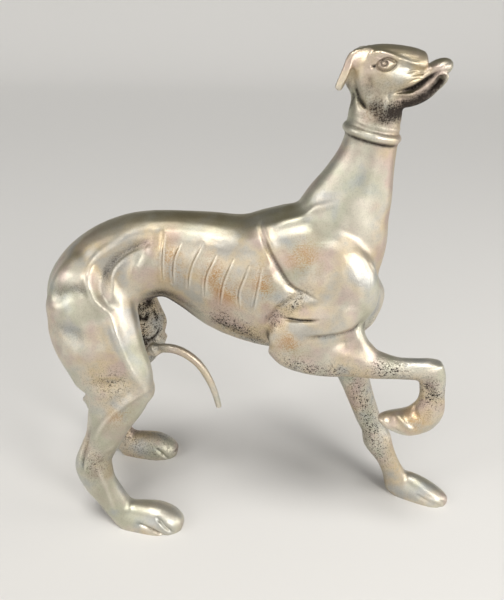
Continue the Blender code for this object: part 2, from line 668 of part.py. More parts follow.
def main():
    for thing in list(bpy.data.objects):
        bpy.data.objects.remove(thing)
    dog = add_small_forms(build_body())
    carve_all(dog)
    faces = sum(len(face.vertices) - 2 for face in dog.data.polygons)
    applied(dog, "DECIMATE", ratio=KEPT_TRIANGLES / faces)
    stand(dog)
    dog.name = NAME
    dog.data.name = NAME
    dog.data.materials.clear()
    dog.data.materials.append(finish("silvered_brass", **SILVERED_BRASS))
    dog.data.shade_smooth()
    home = bpy.data.collections.new(NAME)
    bpy.context.scene.collection.children.link(home)
    for owner in list(dog.users_collection):
        owner.objects.unlink(dog)
    home.objects.link(dog)


main()
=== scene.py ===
"""Looks of a standing greyhound statuette: one silvered brass casting on a pale studio floor.

The dog is modelled again at a finer grain than the frame's solid, from the same forms, and takes its
place and size from the frame. Forms are in units of one millimetre on a dog DESIGN_HEIGHT tall.
"""

import math

import bmesh
import bpy
import numpy as np
from mathutils import Matrix, Vector


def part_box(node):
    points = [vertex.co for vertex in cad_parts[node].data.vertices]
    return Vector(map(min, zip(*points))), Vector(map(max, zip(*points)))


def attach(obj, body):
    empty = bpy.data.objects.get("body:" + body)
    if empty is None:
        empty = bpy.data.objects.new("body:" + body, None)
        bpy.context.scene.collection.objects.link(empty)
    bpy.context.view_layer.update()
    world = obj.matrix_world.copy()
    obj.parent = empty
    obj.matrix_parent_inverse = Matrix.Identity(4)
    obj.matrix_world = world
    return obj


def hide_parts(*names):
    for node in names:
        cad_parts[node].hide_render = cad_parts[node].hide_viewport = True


# Driving dimensions, in metres
HEIGHT = 0.305
TAIL_THICKNESS = 0.0062
COLLAR_THICKNESS = 0.0048
COLLAR_BAND_THICKNESS = 0.003
EAR_THICKNESS = 0.0034

# One unit is one millimetre on a dog of this height
DESIGN_HEIGHT = 305
UNIT = HEIGHT / DESIGN_HEIGHT

# How finely the joined forms are meshed, in units, and about how many triangles the dog keeps
BODY_VOXEL = 1.7
SKIN_VOXEL = 0.85
KEPT_TRIANGLES = 190000

# The least half depth or half width of a ring, in units
THINNEST_RING = 0.3

# Rounds of smoothing: where the masses meet, where the small forms join them, and after carving
BODY_FILLING, BODY_SOFTENING = 28, 12
JOIN_FILLING, JOIN_SOFTENING = 6, 4
BROAD_SOFTENING, LAST_SOFTENING = 3, 1
SOFTENING_STRENGTH = 0.5
SOFTENING_RETURN = 0.53

# Strokes: points made between two given ones, how fast they fade at their ends and to what share,
# and how sharply they stop where the skin turns away from their side
STROKE_STEPS = 4
END_FADE = 5
END_SHARE = 0.35
SIDE_SHARPNESS = 3

NAME = "greyhound"
NEAR, FAR = -1, 1

# Tubes: rows of x, y, z, half depth, half width and keel. Depth lies in the plane of the bend and
# width across the dog. A keel above 0 makes the section narrower below, or in front on the neck.
TORSO = (
    (-114, 0, 138, 13, 13, 0),
    (-113, 0, 148, 18.5, 18, 0),
    (-108, 0, 158, 22.5, 22.5, 0),
    (-99, 0, 167, 25, 25.5, 0),
    (-88, 0, 174.3, 26.6, 27, 0),
    (-76.5, 0, 179.8, 27.2, 26, 0),
    (-65, 0, 183.4, 27.2, 24.5, 0.04),
    (-52, 0, 185.3, 26.8, 22.5, 0.08),
    (-31, 0, 180.3, 32.8, 24.5, 0.16),
    (-9, 0, 172.6, 40, 28, 0.22),
    (14, 0, 170.5, 45.5, 29.5, 0.22),
    (36, 0, 172, 47, 28, 0.15),
    (58, 0, 171, 38, 23.5, 0),
    (68, 0, 174, 25, 17, 0),
    (74.5, 0, 178, 12.5, 9, 0),
)
NECK = (
    (37, 0, 170, 34, 24, 0),
    (44, 0, 186, 34, 22.5, 0),
    (50, 0, 200, 31, 20.5, 0),
    (54.7, 0, 216, 26.3, 18.3, 0),
    (59, 0, 228, 22.4, 16.2, 0),
    (61.9, 0, 238, 18.9, 14.7, 0),
    (64.2, 0, 247, 16.2, 13.7, 0),
    (65.8, 0, 256, 14.7, 13.3, 0),
    (66.3, 0, 264, 14.2, 13.4, 0),
    (67, 0, 272, 14.2, 13, 0),
    (67, 0, 283, 12, 11.5, 0),
)
HIND_LEG = (
    (-92, 11, 184, 16, 12, 0),
    (-94.5, 17, 170, 25, 17, 0),
    (-95, 22, 152, 28.8, 17, 0),
    (-91.5, 26.5, 137, 28.8, 15, 0),
    (-86.5, 29, 124, 27, 13.5, 0),
    (-81.7, 31, 111.5, 25.3, 12.2, 0),
    (-81, 32.5, 101, 20.4, 10.8, 0),
    (-83.6, 33.6, 92, 16.8, 10, 0),
    (-87, 34.4, 84, 14.6, 9.5, 0),
    (-92.5, 35.6, 69, 11.9, 8.8, 0),
    (-98.4, 36.5, 57, 11.2, 8.4, 0),
    (-100.7, 37, 47, 12.6, 8.7, 0),
    (-98.6, 37, 35, 11.6, 8.2, 0),
    (-93, 37, 24, 10.4, 8, 0),
    (-87, 37, 13, 9.4, 8.6, 0),
    (-82, 37, 5, 9.4, 9.4, 0),
)
KNEE = (
    (-70, 28.5, 117, 6, 6, 0),
    (-64.5, 30, 110.5, 6.5, 7, 0),
    (-63.5, 31, 104.5, 6.5, 7, 0),
    (-69, 32.5, 98.5, 6, 6, 0),
)
HIND_PAW = (
    (-88.5, 37, 3, 5, 5, 0),
    (-85, 37, 3.5, 9.5, 8.4, 0),
    (-78.5, 37, 3.5, 13, 9.8, 0),
    (-70, 37, 3, 14, 11, 0),
    (-60, 37, 2.5, 14, 12, 0),
    (-52, 37, 2, 11.5, 11, 0),
    (-46.5, 37, 1.5, 8, 8.5, 0),
    (-43, 37, 1, 4, 5, 0),
)
SHOULDER = (
    (29, 10, 204, 10, 6, 0),
    (38, 14.5, 195, 19, 10, 0),
    (46, 18, 184, 26, 12, 0),
    (50, 19, 170, 27, 12.5, 0),
    (50, 19, 157, 20, 11, 0),
    (50, 19, 148, 10, 7, 0),
)
STANDING_FORELEG = (
    (46, 19, 158, 19, 11, 0),
    (53, 19, 132, 16, 11, 0),
    (62, 18, 111, 12.5, 10, 0),
    (69.2, 17, 93, 10.2, 9, 0),
    (75.2, 15.8, 77, 9, 8.1, 0),
    (80.3, 14.8, 64, 8.5, 7.8, 0),
    (84.8, 14.2, 54.5, 8.1, 7.5, 0),
    (88.3, 14, 45.6, 10.1, 9, 0),
    (91.4, 13.6, 38.8, 9, 8.2, 0),
    (96.2, 13.2, 30, 7.3, 7.1, 0),
    (100.6, 13, 20.5, 7.3, 7.1, 0),
    (104.5, 13, 12, 8.6, 8, 0),
    (107, 13, 5, 9.5, 8.5, 0),
)
FORE_PAW = (
    (100.5, 14, 2, 4, 4.5, 0),
    (105, 14, 2.5, 10.5, 8, 0),
    (113, 12.3, 2.5, 14.2, 9.5, 0),
    (123, 9, 2, 12.4, 10, 0),
    (132, 5.8, 1.5, 8.8, 9.4, 0),
    (138, 4.4, 1, 5.6, 6.8, 0),
    (141, 3.8, 0.5, 2.8, 3.6, 0),
)
UPPER_ARM = (
    (63.5, 20.5, 168, 10.5, 9, 0),
    (54, 23, 162, 15, 11, 0),
    (40, 24, 155, 15.5, 11, 0),
    (27, 24.5, 147, 13, 10, 0),
    (17.5, 24.5, 141, 8, 7.5, 0),
)
ARM_ROOT = (
    (58, 19, 160, 8, 8, 0),
    (63.5, 21, 150.5, 5.8, 8, 0),
    (67.5, 23, 143, 4.8, 7, 0),
    (74, 24.5, 137, 4, 6, 0),
)
RAISED_FORELEG = (
    (14.5, 24.5, 139.5, 5.5, 5.5, 0),
    (24, 24.5, 137, 11.5, 8.6, 0),
    (37, 24.5, 134.5, 13.3, 10, 0),
    (50, 24.5, 133.5, 13.5, 10, 0),
    (64, 24.5, 132.3, 11.6, 9.2, 0),
    (77, 24.5, 129.3, 9, 8.2, 0),
    (90, 24.5, 127.6, 6.8, 6.7, 0),
    (102, 24.5, 127.6, 6.7, 6.6, 0),
    (110, 24.5, 128, 6.7, 6.8, 0),
    (115, 24.5, 128.5, 4.2, 4.6, 0),
)
RAISED_PAW = (
    (111.5, 24.5, 133, 5, 5.5, 0),
    (111.6, 24.5, 124, 7.9, 6.6, 0),
    (112.9, 24.5, 110, 7.6, 6.6, 0),
    (112.3, 24.5, 100, 9.6, 7.6, 0),
    (108, 24.5, 93, 10.2, 8.6, 0),
    (101.5, 24.5, 90.2, 8.4, 9, 0),
    (95, 24.5, 90, 6.6, 8.6, 0),
    (89, 24.5, 90.4, 4.3, 7.4, 0),
    (85, 24.5, 90.8, 2.4, 5.4, 0),
    (82, 24.5, 91, 1.2, 3.2, 0),
)
SKULL = (
    (50, 0, 291, 6, 7, 0),
    (55, 0, 291, 11.5, 12, 0),
    (63, 0, 290.6, 13, 14, 0),
    (72, 0, 290, 12.4, 13.6, 0),
    (80, 0, 289.5, 10, 11.6, 0),
    (87, 0, 290, 6, 9, 0),
)
BROW = (
    (56, 0, 294, 8, 9.5, 0),
    (61, 0, 295, 8.8, 12, 0),
    (67, 0, 295.6, 9.2, 13, 0),
    (74, 0, 295.7, 8.9, 12.6, 0),
    (81, 0, 295.8, 8, 11.3, 0),
    (86.5, 0, 296.2, 6.6, 10, 0),
    (89.6, 0, 296.8, 5, 8.4, 0),
    (90.8, 0, 297, 3.8, 6.8, 0),
)
MUZZLE = (
    (74, 0, 288.5, 8, 11.8, 0),
    (82, 0, 287.8, 6.6, 10.2, 0),
    (87, 0, 288.6, 5, 8.8, 0),
    (90.5, 0, 290.2, 4.1, 7.9, 0),
    (94, 0, 292.1, 4, 7.5, 0),
    (97, 0, 293.6, 4.2, 7.4, 0),
    (100, 0, 294.3, 4.2, 6.8, 0),
    (102.4, 0, 294.1, 3.4, 5.2, 0),
    (103.8, 0, 293.8, 1.9, 2.8, 0),
)
JAW = (
    (62, 0, 284, 9, 10, 0),
    (72, 0, 279.5, 6.3, 9.8, 0),
    (80, 0, 277.6, 4.2, 9, 0),
    (87, 0, 279.1, 4.1, 8.2, 0),
    (92.5, 0, 282.3, 4, 7.4, 0),
    (96.4, 0, 286, 3.4, 6.6, 0),
    (99, 0, 288.7, 2.6, 5.8, 0),
    (100.8, 0, 290.2, 1.5, 4.2, 0),
)
LIP = (
    (73.9, 9.6, 280.7, 1, 1, 0),
    (77.9, 9.2, 281.8, 1.2, 1.2, 0),
    (82.1, 8.6, 281.5, 1.3, 1.3, 0),
    (85.6, 8, 282.2, 1.3, 1.3, 0),
    (89.9, 7.5, 284.6, 1.3, 1.3, 0),
    (93.1, 7.1, 287.6, 1.2, 1.2, 0),
    (95.2, 6.8, 290.1, 1.1, 1.1, 0),
    (97.6, 6.3, 291.4, 1, 1, 0),
    (99.9, 5.6, 291, 1, 1, 0),
    (100.9, 5.1, 289.3, 1, 1, 0),
    (100, 4.9, 287.1, 1, 1, 0),
    (98.5, 4.7, 284.9, 0.9, 0.9, 0),
    (97.2, 4.2, 283.4, 0.8, 0.8, 0),
)

# The ear has a broad root and a narrow flap that hangs from it. Its half thickness is a size of its
# own, so the rows give x, y, z and half width.
EAR_ROOT = (
    (66, 5.5, 298.4, 3.4),
    (61.5, 8, 299, 4.6),
    (57, 10, 298.7, 4.8),
    (53.2, 11.5, 298.4, 4.2),
    (51.8, 12, 298.8, 3.2),
)
EAR = (
    (53, 11.2, 301, 2),
    (51.6, 12, 298, 2.4),
    (50.2, 12.8, 294.2, 2.3),
    (48.6, 13.5, 290, 2.3),
    (46.9, 13.9, 286, 2.2),
    (45.8, 14.1, 283.9, 1.6),
)
EAR_LEAN = 0.25
FAR_EAR_FORWARD = 3.2

# Tail: x, y, z and thickness as a share of TAIL_THICKNESS
TAIL = (
    (-108, 0, 158, 1.6),
    (-117, 0, 150, 1.6),
    (-120.5, 0, 141, 1.5),
    (-115.5, 0, 131, 1.3),
    (-104, 0, 122, 1.15),
    (-90, 0, 115.5, 1.05),
    (-74, 0, 113.5, 1),
    (-58, 0, 118, 1),
    (-46, 0, 116, 0.96),
    (-35, 0, 107.5, 0.9),
    (-28, 0, 95, 0.82),
    (-24, 0, 83, 0.72),
    (-22, 0, 73.5, 0.64),
)

# The left hock's heel, a small knob that stands out behind
FAR_HEEL = (
    (-123, 37, 46, 5, 5, 0),
    (-129, 37, 46.4, 4.2, 4.2, 0),
    (-133, 37, 46.2, 3, 3, 0),
    (-134.8, 37, 46, 1.6, 1.6, 0),
)

# Collar: rings round the neck, their middles in x and z, and the slope that lifts them at the nape
COLLAR_MIDDLE = (66, 260.5)
COLLAR_RADIUS = 16.4
BAND_MIDDLE = (66.9, 265.4)
BAND_RADIUS = 14.4
COLLAR_SLOPE = math.radians(12.3)

# The left hind leg stands further back than the right one: how far, against height
SETBACK_HEIGHTS = (0, 24, 36, 47, 56, 80, 100, 112, 150, 190)
SETBACKS = (20, 18, 17, 20.5, 17.5, 13.5, 8, 7.5, 5, 0)
FAR_SHOULDER_SETBACK = 5

# Broad carving: side, half width, depth (below 0 for a ridge) and points in side view or in space
BROAD_STROKES = (
    ((NEAR, FAR), 4.2, 3.6, ((-53, 202), (-66, 196.5), (-77, 190), (-83.5, 181), (-83, 171), (-79, 164))),
    ((NEAR, FAR), 1.9, -1.1, ((-58, 196.5), (-70, 190.5), (-77.5, 181.5), (-78, 170.5))),
    ((NEAR, FAR), 2.4, -0.8, ((-54, 203), (-57, 193), (-64, 183))),
    ((NEAR, FAR), 7, 1.3, ((-58, 196), (-66, 188), (-75, 180))),
    ((NEAR, FAR), 2.6, -1.5, ((-75, 199), (-88, 189), (-92, 180), (-89, 170), (-83, 163), (-79, 158))),
    ((NEAR, FAR), 4.4, 2.3, ((-116, 166), (-108, 170.5), (-99, 173), (-92, 172.5))),
    ((NEAR, FAR), 5, -0.7, ((-121, 159), (-108, 160), (-99, 159))),
    ((NEAR, FAR), 5, 1.9, ((-122, 150), (-106, 149), (-96, 145))),
    ((NEAR, FAR), 8, -1, ((-112, 136), (-98, 133))),
    ((NEAR, FAR), 2.7, -2.6, ((-79, 160), (-75.5, 147), (-72, 136), (-67.5, 124), (-61, 110))),
    ((NEAR, FAR), 4.5, 1.8, ((-92, 113), (-80, 116), (-69, 117))),
    ((NEAR, FAR), 2.4, -2.2, ((-61.5, 109.5), (-70.5, 105), (-80.5, 96), (-88.5, 86), (-94, 75))),
    ((NEAR, FAR), 3.5, 0.9, ((-97, 88), (-101, 72), (-105, 58))),
    ((NEAR, FAR), 2.8, 0.9, ((-92, 54), (-84, 64))),
    ((NEAR, FAR), 1.9, -1.9, ((-95, 52), (-92, 37), (-87, 18))),
    ((NEAR, FAR), 5, 0.5, ((7, 201), (12, 192), (19, 181), (27, 174))),
    ((NEAR, FAR), 2, -0.5, ((10.5, 210), (16, 200.5), (23.5, 190), (30, 182))),
    ((NEAR, FAR), 2.2, -1.1, ((11, 209.5), (22, 213), (31, 215.5), (39, 221.5), (47, 225))),
    ((NEAR, FAR), 2.6, -0.8, ((52, 208), (60, 203), (66.5, 195.5), (70.5, 187), (69.5, 178))),
    ((NEAR,), 2.4, 1.6, ((33, 176), (20, 165), (11, 151))),
    ((NEAR,), 2, -1, ((42, 174), (23, 165.5))),
    ((NEAR,), 2.6, -1, ((21, 157), (15, 147), (14, 141))),
    ((NEAR,), 2.4, 1, ((34, 150.5), (48, 151), (62, 153.5), (68, 160))),
    ((NEAR, FAR), 3, 1.6, ((15, 194), (19.5, 186), (25.5, 178.5), (31, 174.5))),
    ((NEAR, FAR), 5, 1.1, ((50, 215), (60.5, 206), (69, 198), (74, 184))),
    ((NEAR,), 3, 1.6, ((108, 121), (112, 112), (111.5, 104))),
    ((NEAR,), 1.6, -1.3, ((90, 98.5), (97, 93.2), (104, 88.5))),
    ((NEAR,), 1.8, 1.2, ((104, 108), (102.4, 101.5), (105.5, 97))),
    ((NEAR,), 3.2, 1.2, ((86, 93), (91, 92), (97, 90.5))),
    ((NEAR,), 1.3, -1.1, ((83, 90), (90, 87.2), (98, 84.4), (107, 85))),
    ((FAR,), 2.6, -0.9, ((78.5, 53), (86, 55.5), (96, 53))),
    ((NEAR, FAR), 2, 1.2, ((53.4, 291), (55, 284), (57.6, 278.4), (61.5, 274))),
    ((NEAR, FAR), 2.4, 1.1, ((60, 291), (61.8, 287), (63, 283))),
    ((NEAR, FAR), 2.8, -0.9, ((65.5, 295.8), (71, 296.4))),
    ((NEAR, FAR), 1.2, -0.9, ((61, 299.6), (65, 301.4), (72, 299.8), (81, 296.8), (88.6, 295.2))),
    ((NEAR, FAR), 2, 0.9, ((77, 296), (83, 294), (89, 292.6))),
    ((NEAR,), 1.2, 1, ((91.2, -6.5, 293), (91.6, 0, 294.4), (91.2, 6.5, 293))),
    ((NEAR, FAR), 1.1, 1.6, ((78, 282.5), (83, 283.5), (87, 285.8), (90, 288.2))),
)

# Rib slots in side view, each with a raised lip round it
RIB_SLOTS = (
    ((-48, 204), (-50, 177)),
    ((-38, 200), (-42, 191), (-44, 175)),
    ((-25, 201), (-32, 187), (-35, 173)),
    ((-17, 195), (-23, 183), (-25, 169)),
    ((-7, 194), (-13, 180), (-16, 164)),
    ((2, 191), (-4, 175), (-4, 164)),
    ((9, 190), (6, 174), (4, 163)),
)
RIB_WIDTH, RIB_DEPTH = 0.65, 1.5
RIB_LIP_WIDTH, RIB_LIP_HEIGHT = 1.5, 0.9

# Fine carving, in the same form as the broad carving
FINE_STROKES = (
    ((NEAR, FAR), 1.4, 1.3, ((7.3, 210), (12.5, 200), (18.8, 189.3), (24.2, 180.7), (31.5, 174.8))),
    ((NEAR,), 1, 0.7, ((27.5, 177.7), (41, 173.2))),
    ((NEAR,), 0.9, 1.5, ((21.5, 159.6), (31, 160.3), (42, 161.6))),
    ((NEAR,), 1, 0.8, ((35, 150.7), (48, 151.1), (62, 153.5), (67, 159))),
    ((NEAR, FAR), 1.4, 1.8, ((-98, 82), (-101.5, 71.5), (-105, 59), (-106.5, 47))),
    ((NEAR, FAR), 1, -0.6, ((-98, 66), (-102, 57), (-104, 48))),
    ((NEAR, FAR), 0.9, 1.3, ((54.4, 287), (55.4, 283), (57.6, 278.4), (61.9, 273.5))),
    ((NEAR, FAR), 0.7, 1.3, ((75, 282), (80, 283), (84, 284), (88, 286.4), (92, 289.8), (96, 292.2))),
    ((NEAR, FAR), 1.6, 2.8, ((93.4, 7, 282.6), (95.8, 6.6, 285.6), (97.6, 6.2, 288.3), (98.9, 5.9, 290))),
    ((NEAR, FAR), 0.7, -0.5, ((96.4, 6.7, 291.4), (99.9, 5.8, 291.3), (101.2, 5.2, 289.3), (99.4, 5, 286))),
    ((NEAR, FAR), 0.7, -0.7, ((46.6, 284.4), (50, 291.4), (52.3, 297.6))),
    ((NEAR, FAR), 0.7, 0.7, ((64.2, 295.4), (61.6, 294.7))),
    ((NEAR, FAR), 0.5, 0.45, ((83, 290.6), (86, 291.4), (89.5, 291.4))),
    ((NEAR, FAR), 0.5, 0.4, ((81.5, 287.2), (84.5, 288.6), (88, 289))),
    ((NEAR, FAR), 0.5, 0.35, ((80.5, 292.2), (84, 293), (87, 292.8))),
    ((NEAR, FAR), 0.6, 0.5, ((72.4, 283.6), (72, 280), (73.6, 277))),
    ((FAR,), 1.2, 1.6, ((-79, 18, 134), (-77.6, 19, 129), (-74.8, 20.5, 127.3), (-73.1, 21.2, 132.7))),
    ((FAR,), 1, 1.3, ((-78.3, 20.7, 111.4), (-73, 22.8, 110.6), (-68.8, 25.1, 114.5), (-67.3, 26.5, 118.8))),
    ((FAR,), 0.9, 1, ((-71.3, 23.1, 135), (-68.3, 26.6, 126.9), (-69.5, 24.7, 124.6))),
    ((NEAR, FAR), 1.2, -0.5, ((-61.5, 185), (-65.5, 186.5), (-69.5, 176))),
    ((NEAR, FAR), 0.9, 0.5, ((-59, 198), (-62, 191), (-66, 184))),
)

# Toe grooves: x, how far out from the hind paw's middle, z; for the fore paws x, y, z
TOE_GAP_WIDTH, TOE_GAP_DEPTH = 1.2, 1.9
HIND_PAW_OUT = 37
HIND_TOE_GAPS = (
    ((-71, 10.4, 8), (-68.5, 10.8, 7), (-62, 11.9, 5.2), (-56, 11.7, 1.5), (-53, 10.5, 0)),
    ((-58, 8.2, 12), (-55.5, 8.8, 10.3), (-52, 10.2, 6.3), (-48, 9.3, 1.4)),
    ((-58, -9, 10), (-53, -9.8, 6), (-49, -9, 1.4)),
)
FORE_TOE_GAPS = (
    ((120, 1.2, 6.6), (126, -0.6, 4.4), (133, -1.8, 2.5), (136, -1.4, 0)),
    ((124, 2.1, 8), (129.5, 0.3, 6), (137, 0, 3), (139, 0.6, 0)),
    ((122, 16.5, 8), (130, 14, 5), (136, 10, 2), (138, 9, 0)),
)
RAISED_TOE_GAPS = (
    ((103, 20, 80), (93, 20.5, 82.5), (86, 21.5, 86.5)),
    ((104, 24.5, 79), (93, 24.5, 81), (84, 24.5, 86)),
    ((103, 29, 80), (93, 28.5, 82.5), (86, 27.5, 86.5)),
    ((97, 31.5, 86), (91, 30, 88), (85, 27.5, 90.5)),
)

# Almond eye in side view: its middle, half length and half height, its tilt, and how far it is drawn
# in at the front, and at the rear as a share of that. Its lines are a share of the almond, half width
# and depth; the other strokes are half width and depth, and the painted shade along the lines is strength
# and half width.
EYE_MIDDLE = (69.6, 296)
EYE_REACH = (5, 3.1)
EYE_TILT = math.radians(5.6)
EYE_WAIST = 0.45
EYE_REAR_WAIST = 0.4
EYE_LINES = ((1, 0.5, 1), (0.8, 0.4, 0.35))
EYE_SHADE = (0.55, 0.45)
IRIS_MIDDLE = (68.3, 296.5)
IRIS_REACH = (1.6, 1.2)
IRIS_LINE = (0.45, 0.8)
IRIS_SHADE = (0.6, 0.6)
PUPIL_REACH = (0.4, 0.3)
PUPIL_DENT = (0.8, 0.6)

# Boxes of skin that are meshed twice as finely: the head, the ribs and the four paws
FINE_ZONES = (
    ((40, -20, 268), (110, 20, 310)),
    ((-56, -40, 158), (50, 40, 212)),
    ((-108, -54, -5), (-38, -20, 20)),
    ((-128, 20, -5), (-58, 54, 20)),
    ((96, -2, -5), (146, 26, 18)),
    ((78, -36, 76), (118, -12, 108)),
)
# Boxes that are meshed finer once more: the two eyes and the jaws
EYE_ZONES = (
    ((58, -20, 290), (78, -5, 303)),
    ((58, 5, 290), (78, 20, 303)),
    ((72, -12, 276), (106, 12, 300)),
)


def between(stations, steps):
    """Rows of a smooth curve through the stations, with this many steps from each to the next."""
    rows = np.array(stations, float)
    ends = np.vstack([2 * rows[0] - rows[1], rows, 2 * rows[-1] - rows[-2]])
    curve = []
    for a, b, c, d in zip(ends, ends[1:], ends[2:], ends[3:]):
        for t in np.arange(steps) / steps:
            bend = (2 * a - 5 * b + 4 * c - d) * t**2 + (3 * b - a - 3 * c + d) * t**3
            curve.append(b + 0.5 * ((c - a) * t + bend))
    curve.append(rows[-1])
    return np.array(curve)


def tube(bm, stations, across=(0, 1, 0), sides=20, steps=3):
    """A closed tube of oval rings along the stations, each ring square to the path."""
    rows = between(stations, steps)
    tangents = np.gradient(rows[:, :3], axis=0)
    loops = []
    for number, (row, tangent) in enumerate(zip(rows, tangents)):
        along = Vector(tangent).normalized()
        sideways = (Vector(across) - along * along.dot(Vector(across))).normalized()
        turn = Matrix((sideways.cross(along), sideways, along)).transposed().to_4x4()
        at_end = number in (0, len(rows) - 1)
        ring = bmesh.ops.create_circle(bm, segments=sides, radius=1, cap_ends=at_end)["verts"]
        for vert in ring:
            vert.co.y *= 1 - row[5] * vert.co.x
        size = Matrix.Diagonal((max(row[3], THINNEST_RING), max(row[4], THINNEST_RING), 1, 1))
        place = Matrix.Scale(UNIT, 4) @ Matrix.Translation(Vector(row[:3])) @ turn @ size
        bmesh.ops.transform(bm, matrix=place, verts=ring)
        loops.append({edge for vert in ring for edge in vert.link_edges})
    for lower, upper in zip(loops, loops[1:]):
        bmesh.ops.bridge_loops(bm, edges=list(lower | upper))


def mirrored(stations):
    """The same rows on the dog's right side."""
    return [(row[0], -row[1], *row[2:]) for row in stations]


def set_back(stations):
    """Rows of the right hind leg moved to where the left one stands."""
    return [(row[0] - np.interp(row[2], SETBACK_HEIGHTS, SETBACKS), *row[1:]) for row in stations]


def add_ear(bm, side):
    """A folded-back ear flap, free of the neck below its root."""
    half_thickness = EAR_THICKNESS / UNIT / 2
    forward = FAR_EAR_FORWARD if side == FAR else 0
    for part in (EAR_ROOT, EAR):
        rows = [(x + forward, side * y, z, half_width, half_thickness, 0) for x, y, z, half_width in part]
        tube(bm, rows, across=(EAR_LEAN, side, 0))


def add_tail(bm):
    """The tail, which drops behind the rump and curls forward between the hind legs."""
    half = TAIL_THICKNESS / UNIT / 2
    tube(bm, [(x, y, z, half * share, half * share, 0) for x, y, z, share in TAIL], sides=14)


def add_ring(bm, middle, radius, thickness):
    """A round ring about the neck, tilted with the collar; radius is to its outside."""
    half = thickness / 2
    bpy.ops.mesh.primitive_torus_add(
        major_radius=radius * UNIT - half, minor_radius=half, major_segments=64, minor_segments=16
    )
    ring = bpy.context.object
    centre = Vector((middle[0], 0, middle[1])) * UNIT
    place = Matrix.Translation(centre) @ Matrix.Rotation(COLLAR_SLOPE, 4, "Y")
    ring.data.transform(place)
    bm.from_mesh(ring.data)
    drop(ring)


def drop(thing):
    """Removes a helper object and its mesh."""
    mesh = thing.data
    bpy.data.objects.remove(thing)
    bpy.data.meshes.remove(mesh)


def as_object(bm):
    """A new object that holds the mesh, its faces turned outwards."""
    bmesh.ops.recalc_face_normals(bm, faces=bm.faces)
    mesh = bpy.data.meshes.new(NAME)
    bm.to_mesh(mesh)
    bm.free()
    thing = bpy.data.objects.new(NAME, mesh)
    bpy.context.collection.objects.link(thing)
    return thing


def applied(thing, kind, **settings):
    """The object with one modifier applied to its mesh."""
    modifier = thing.modifiers.new(kind, kind)
    for setting, value in settings.items():
        setattr(modifier, setting, value)
    evaluated = thing.evaluated_get(bpy.context.evaluated_depsgraph_get())
    finished = bpy.data.meshes.new_from_object(evaluated)
    before = thing.data
    thing.modifiers.clear()
    thing.data = finished
    bpy.data.meshes.remove(before)
    return thing


def joined(thing, voxel):
    """One skin round all of the object's overlapping forms."""
    return applied(thing, "REMESH", mode="VOXEL", voxel_size=voxel, adaptivity=0)


class Skin:
    """The points of a mesh as arrays, in design units, for smoothing and carving by hand."""

    def __init__(self, mesh):
        self.mesh = mesh
        self.points = np.empty((len(mesh.vertices), 3), np.float32)
        mesh.vertices.foreach_get("co", self.points.ravel())
        self.points = self.points.astype(float) / UNIT
        edges = np.empty((len(mesh.edges), 2), np.int32)
        mesh.edges.foreach_get("vertices", edges.ravel())
        self.ends = np.concatenate([edges[:, 0], edges[:, 1]])
        self.others = np.concatenate([edges[:, 1], edges[:, 0]])
        self.valence = np.bincount(self.ends, minlength=len(self.points))[:, None]

    def write(self):
        """Puts the points back into the mesh."""
        self.mesh.vertices.foreach_set("co", (self.points * UNIT).astype(np.float32).ravel())
        self.mesh.update()

    def normals(self):
        """The outward direction at each point."""
        self.write()
        found = np.empty((len(self.points), 3), np.float32)
        self.mesh.vertex_normals.foreach_get("vector", found.ravel())
        return found.astype(float)

    def pull(self):
        """How far each point is from the middle of its neighbours."""
        near = self.points[self.others]
        total = [np.bincount(self.ends, near[:, axis], len(self.points)) for axis in range(3)]
        return np.array(total).T / self.valence - self.points

    def soften(self, rounds):
        """Smooths without shrinking: each step in is followed by a slightly longer one out."""
        for _ in range(rounds):
            self.points += SOFTENING_STRENGTH * self.pull()
            self.points -= SOFTENING_RETURN * self.pull()

    def fill_creases(self, rounds):
        """Fills the sharp inner corners where forms meet, and leaves the outer ones."""
        for _ in range(rounds):
            out = self.normals()
            pull = self.pull()
            rise = np.einsum("ij,ij->i", pull, out)[:, None]
            self.points += SOFTENING_STRENGTH * (pull - rise * out + np.clip(rise, 0, None) * out)

    def nearness(self, line, half_width, fades=True):
        """1 on a line and 0 well away from it, fading towards the line's ends."""
        flat = self.points if line.shape[1] == 3 else self.points[:, (0, 2)]
        margin = 3 * half_width
        by_line = np.all((flat > line.min(axis=0) - margin) & (flat < line.max(axis=0) + margin), axis=1)
        flat = flat[by_line]
        nearest = np.full(len(flat), np.inf)
        reached = np.zeros(len(flat))
        for number, (start, end) in enumerate(zip(line, line[1:])):
            run = end - start
            share = np.clip((flat - start) @ run / (run @ run), 0, 1)
            gap = np.linalg.norm(flat - start - share[:, None] * run, axis=1)
            closer = gap < nearest
            nearest[closer] = gap[closer]
            reached[closer] = (number + share[closer]) / (len(line) - 1)
        fade = np.clip(np.minimum(reached, 1 - reached) * END_FADE, 0, 1) if fades else 1
        weight = np.zeros(len(self.points))
        weight[by_line] = np.exp(-((nearest / half_width) ** 2)) * (END_SHARE + (1 - END_SHARE) * fade)
        return weight

    def carve(self, sides, half_width, depth, line, fades=True):
        """Presses a stroke into the skin, or raises a ridge where its depth is below 0."""
        curve = between(line, STROKE_STEPS)
        out = self.normals()
        for side in sides:
            if curve.shape[1] == 3:
                weight = self.nearness(curve * (1, side, 1), half_width, fades)
            else:
                facing = np.clip(SIDE_SHARPNESS * side * out[:, 1], 0, 1)
                facing *= side * self.points[:, 1] > 0
                weight = self.nearness(curve, half_width, fades) * facing
            self.points -= depth * weight[:, None] * out


def toe_lines():
    """The grooves between the toes of the three paws that stand and of the raised one."""
    lines = []
    for gap in HIND_TOE_GAPS:
        lines.append((NEAR, [(x, HIND_PAW_OUT + out, z) for x, out, z in gap]))
        lines.append((FAR, [(x - SETBACKS[0], HIND_PAW_OUT + out, z) for x, out, z in gap]))
    lines += [(FAR, line) for line in FORE_TOE_GAPS]
    lines += [(NEAR, line) for line in RAISED_TOE_GAPS]
    return lines


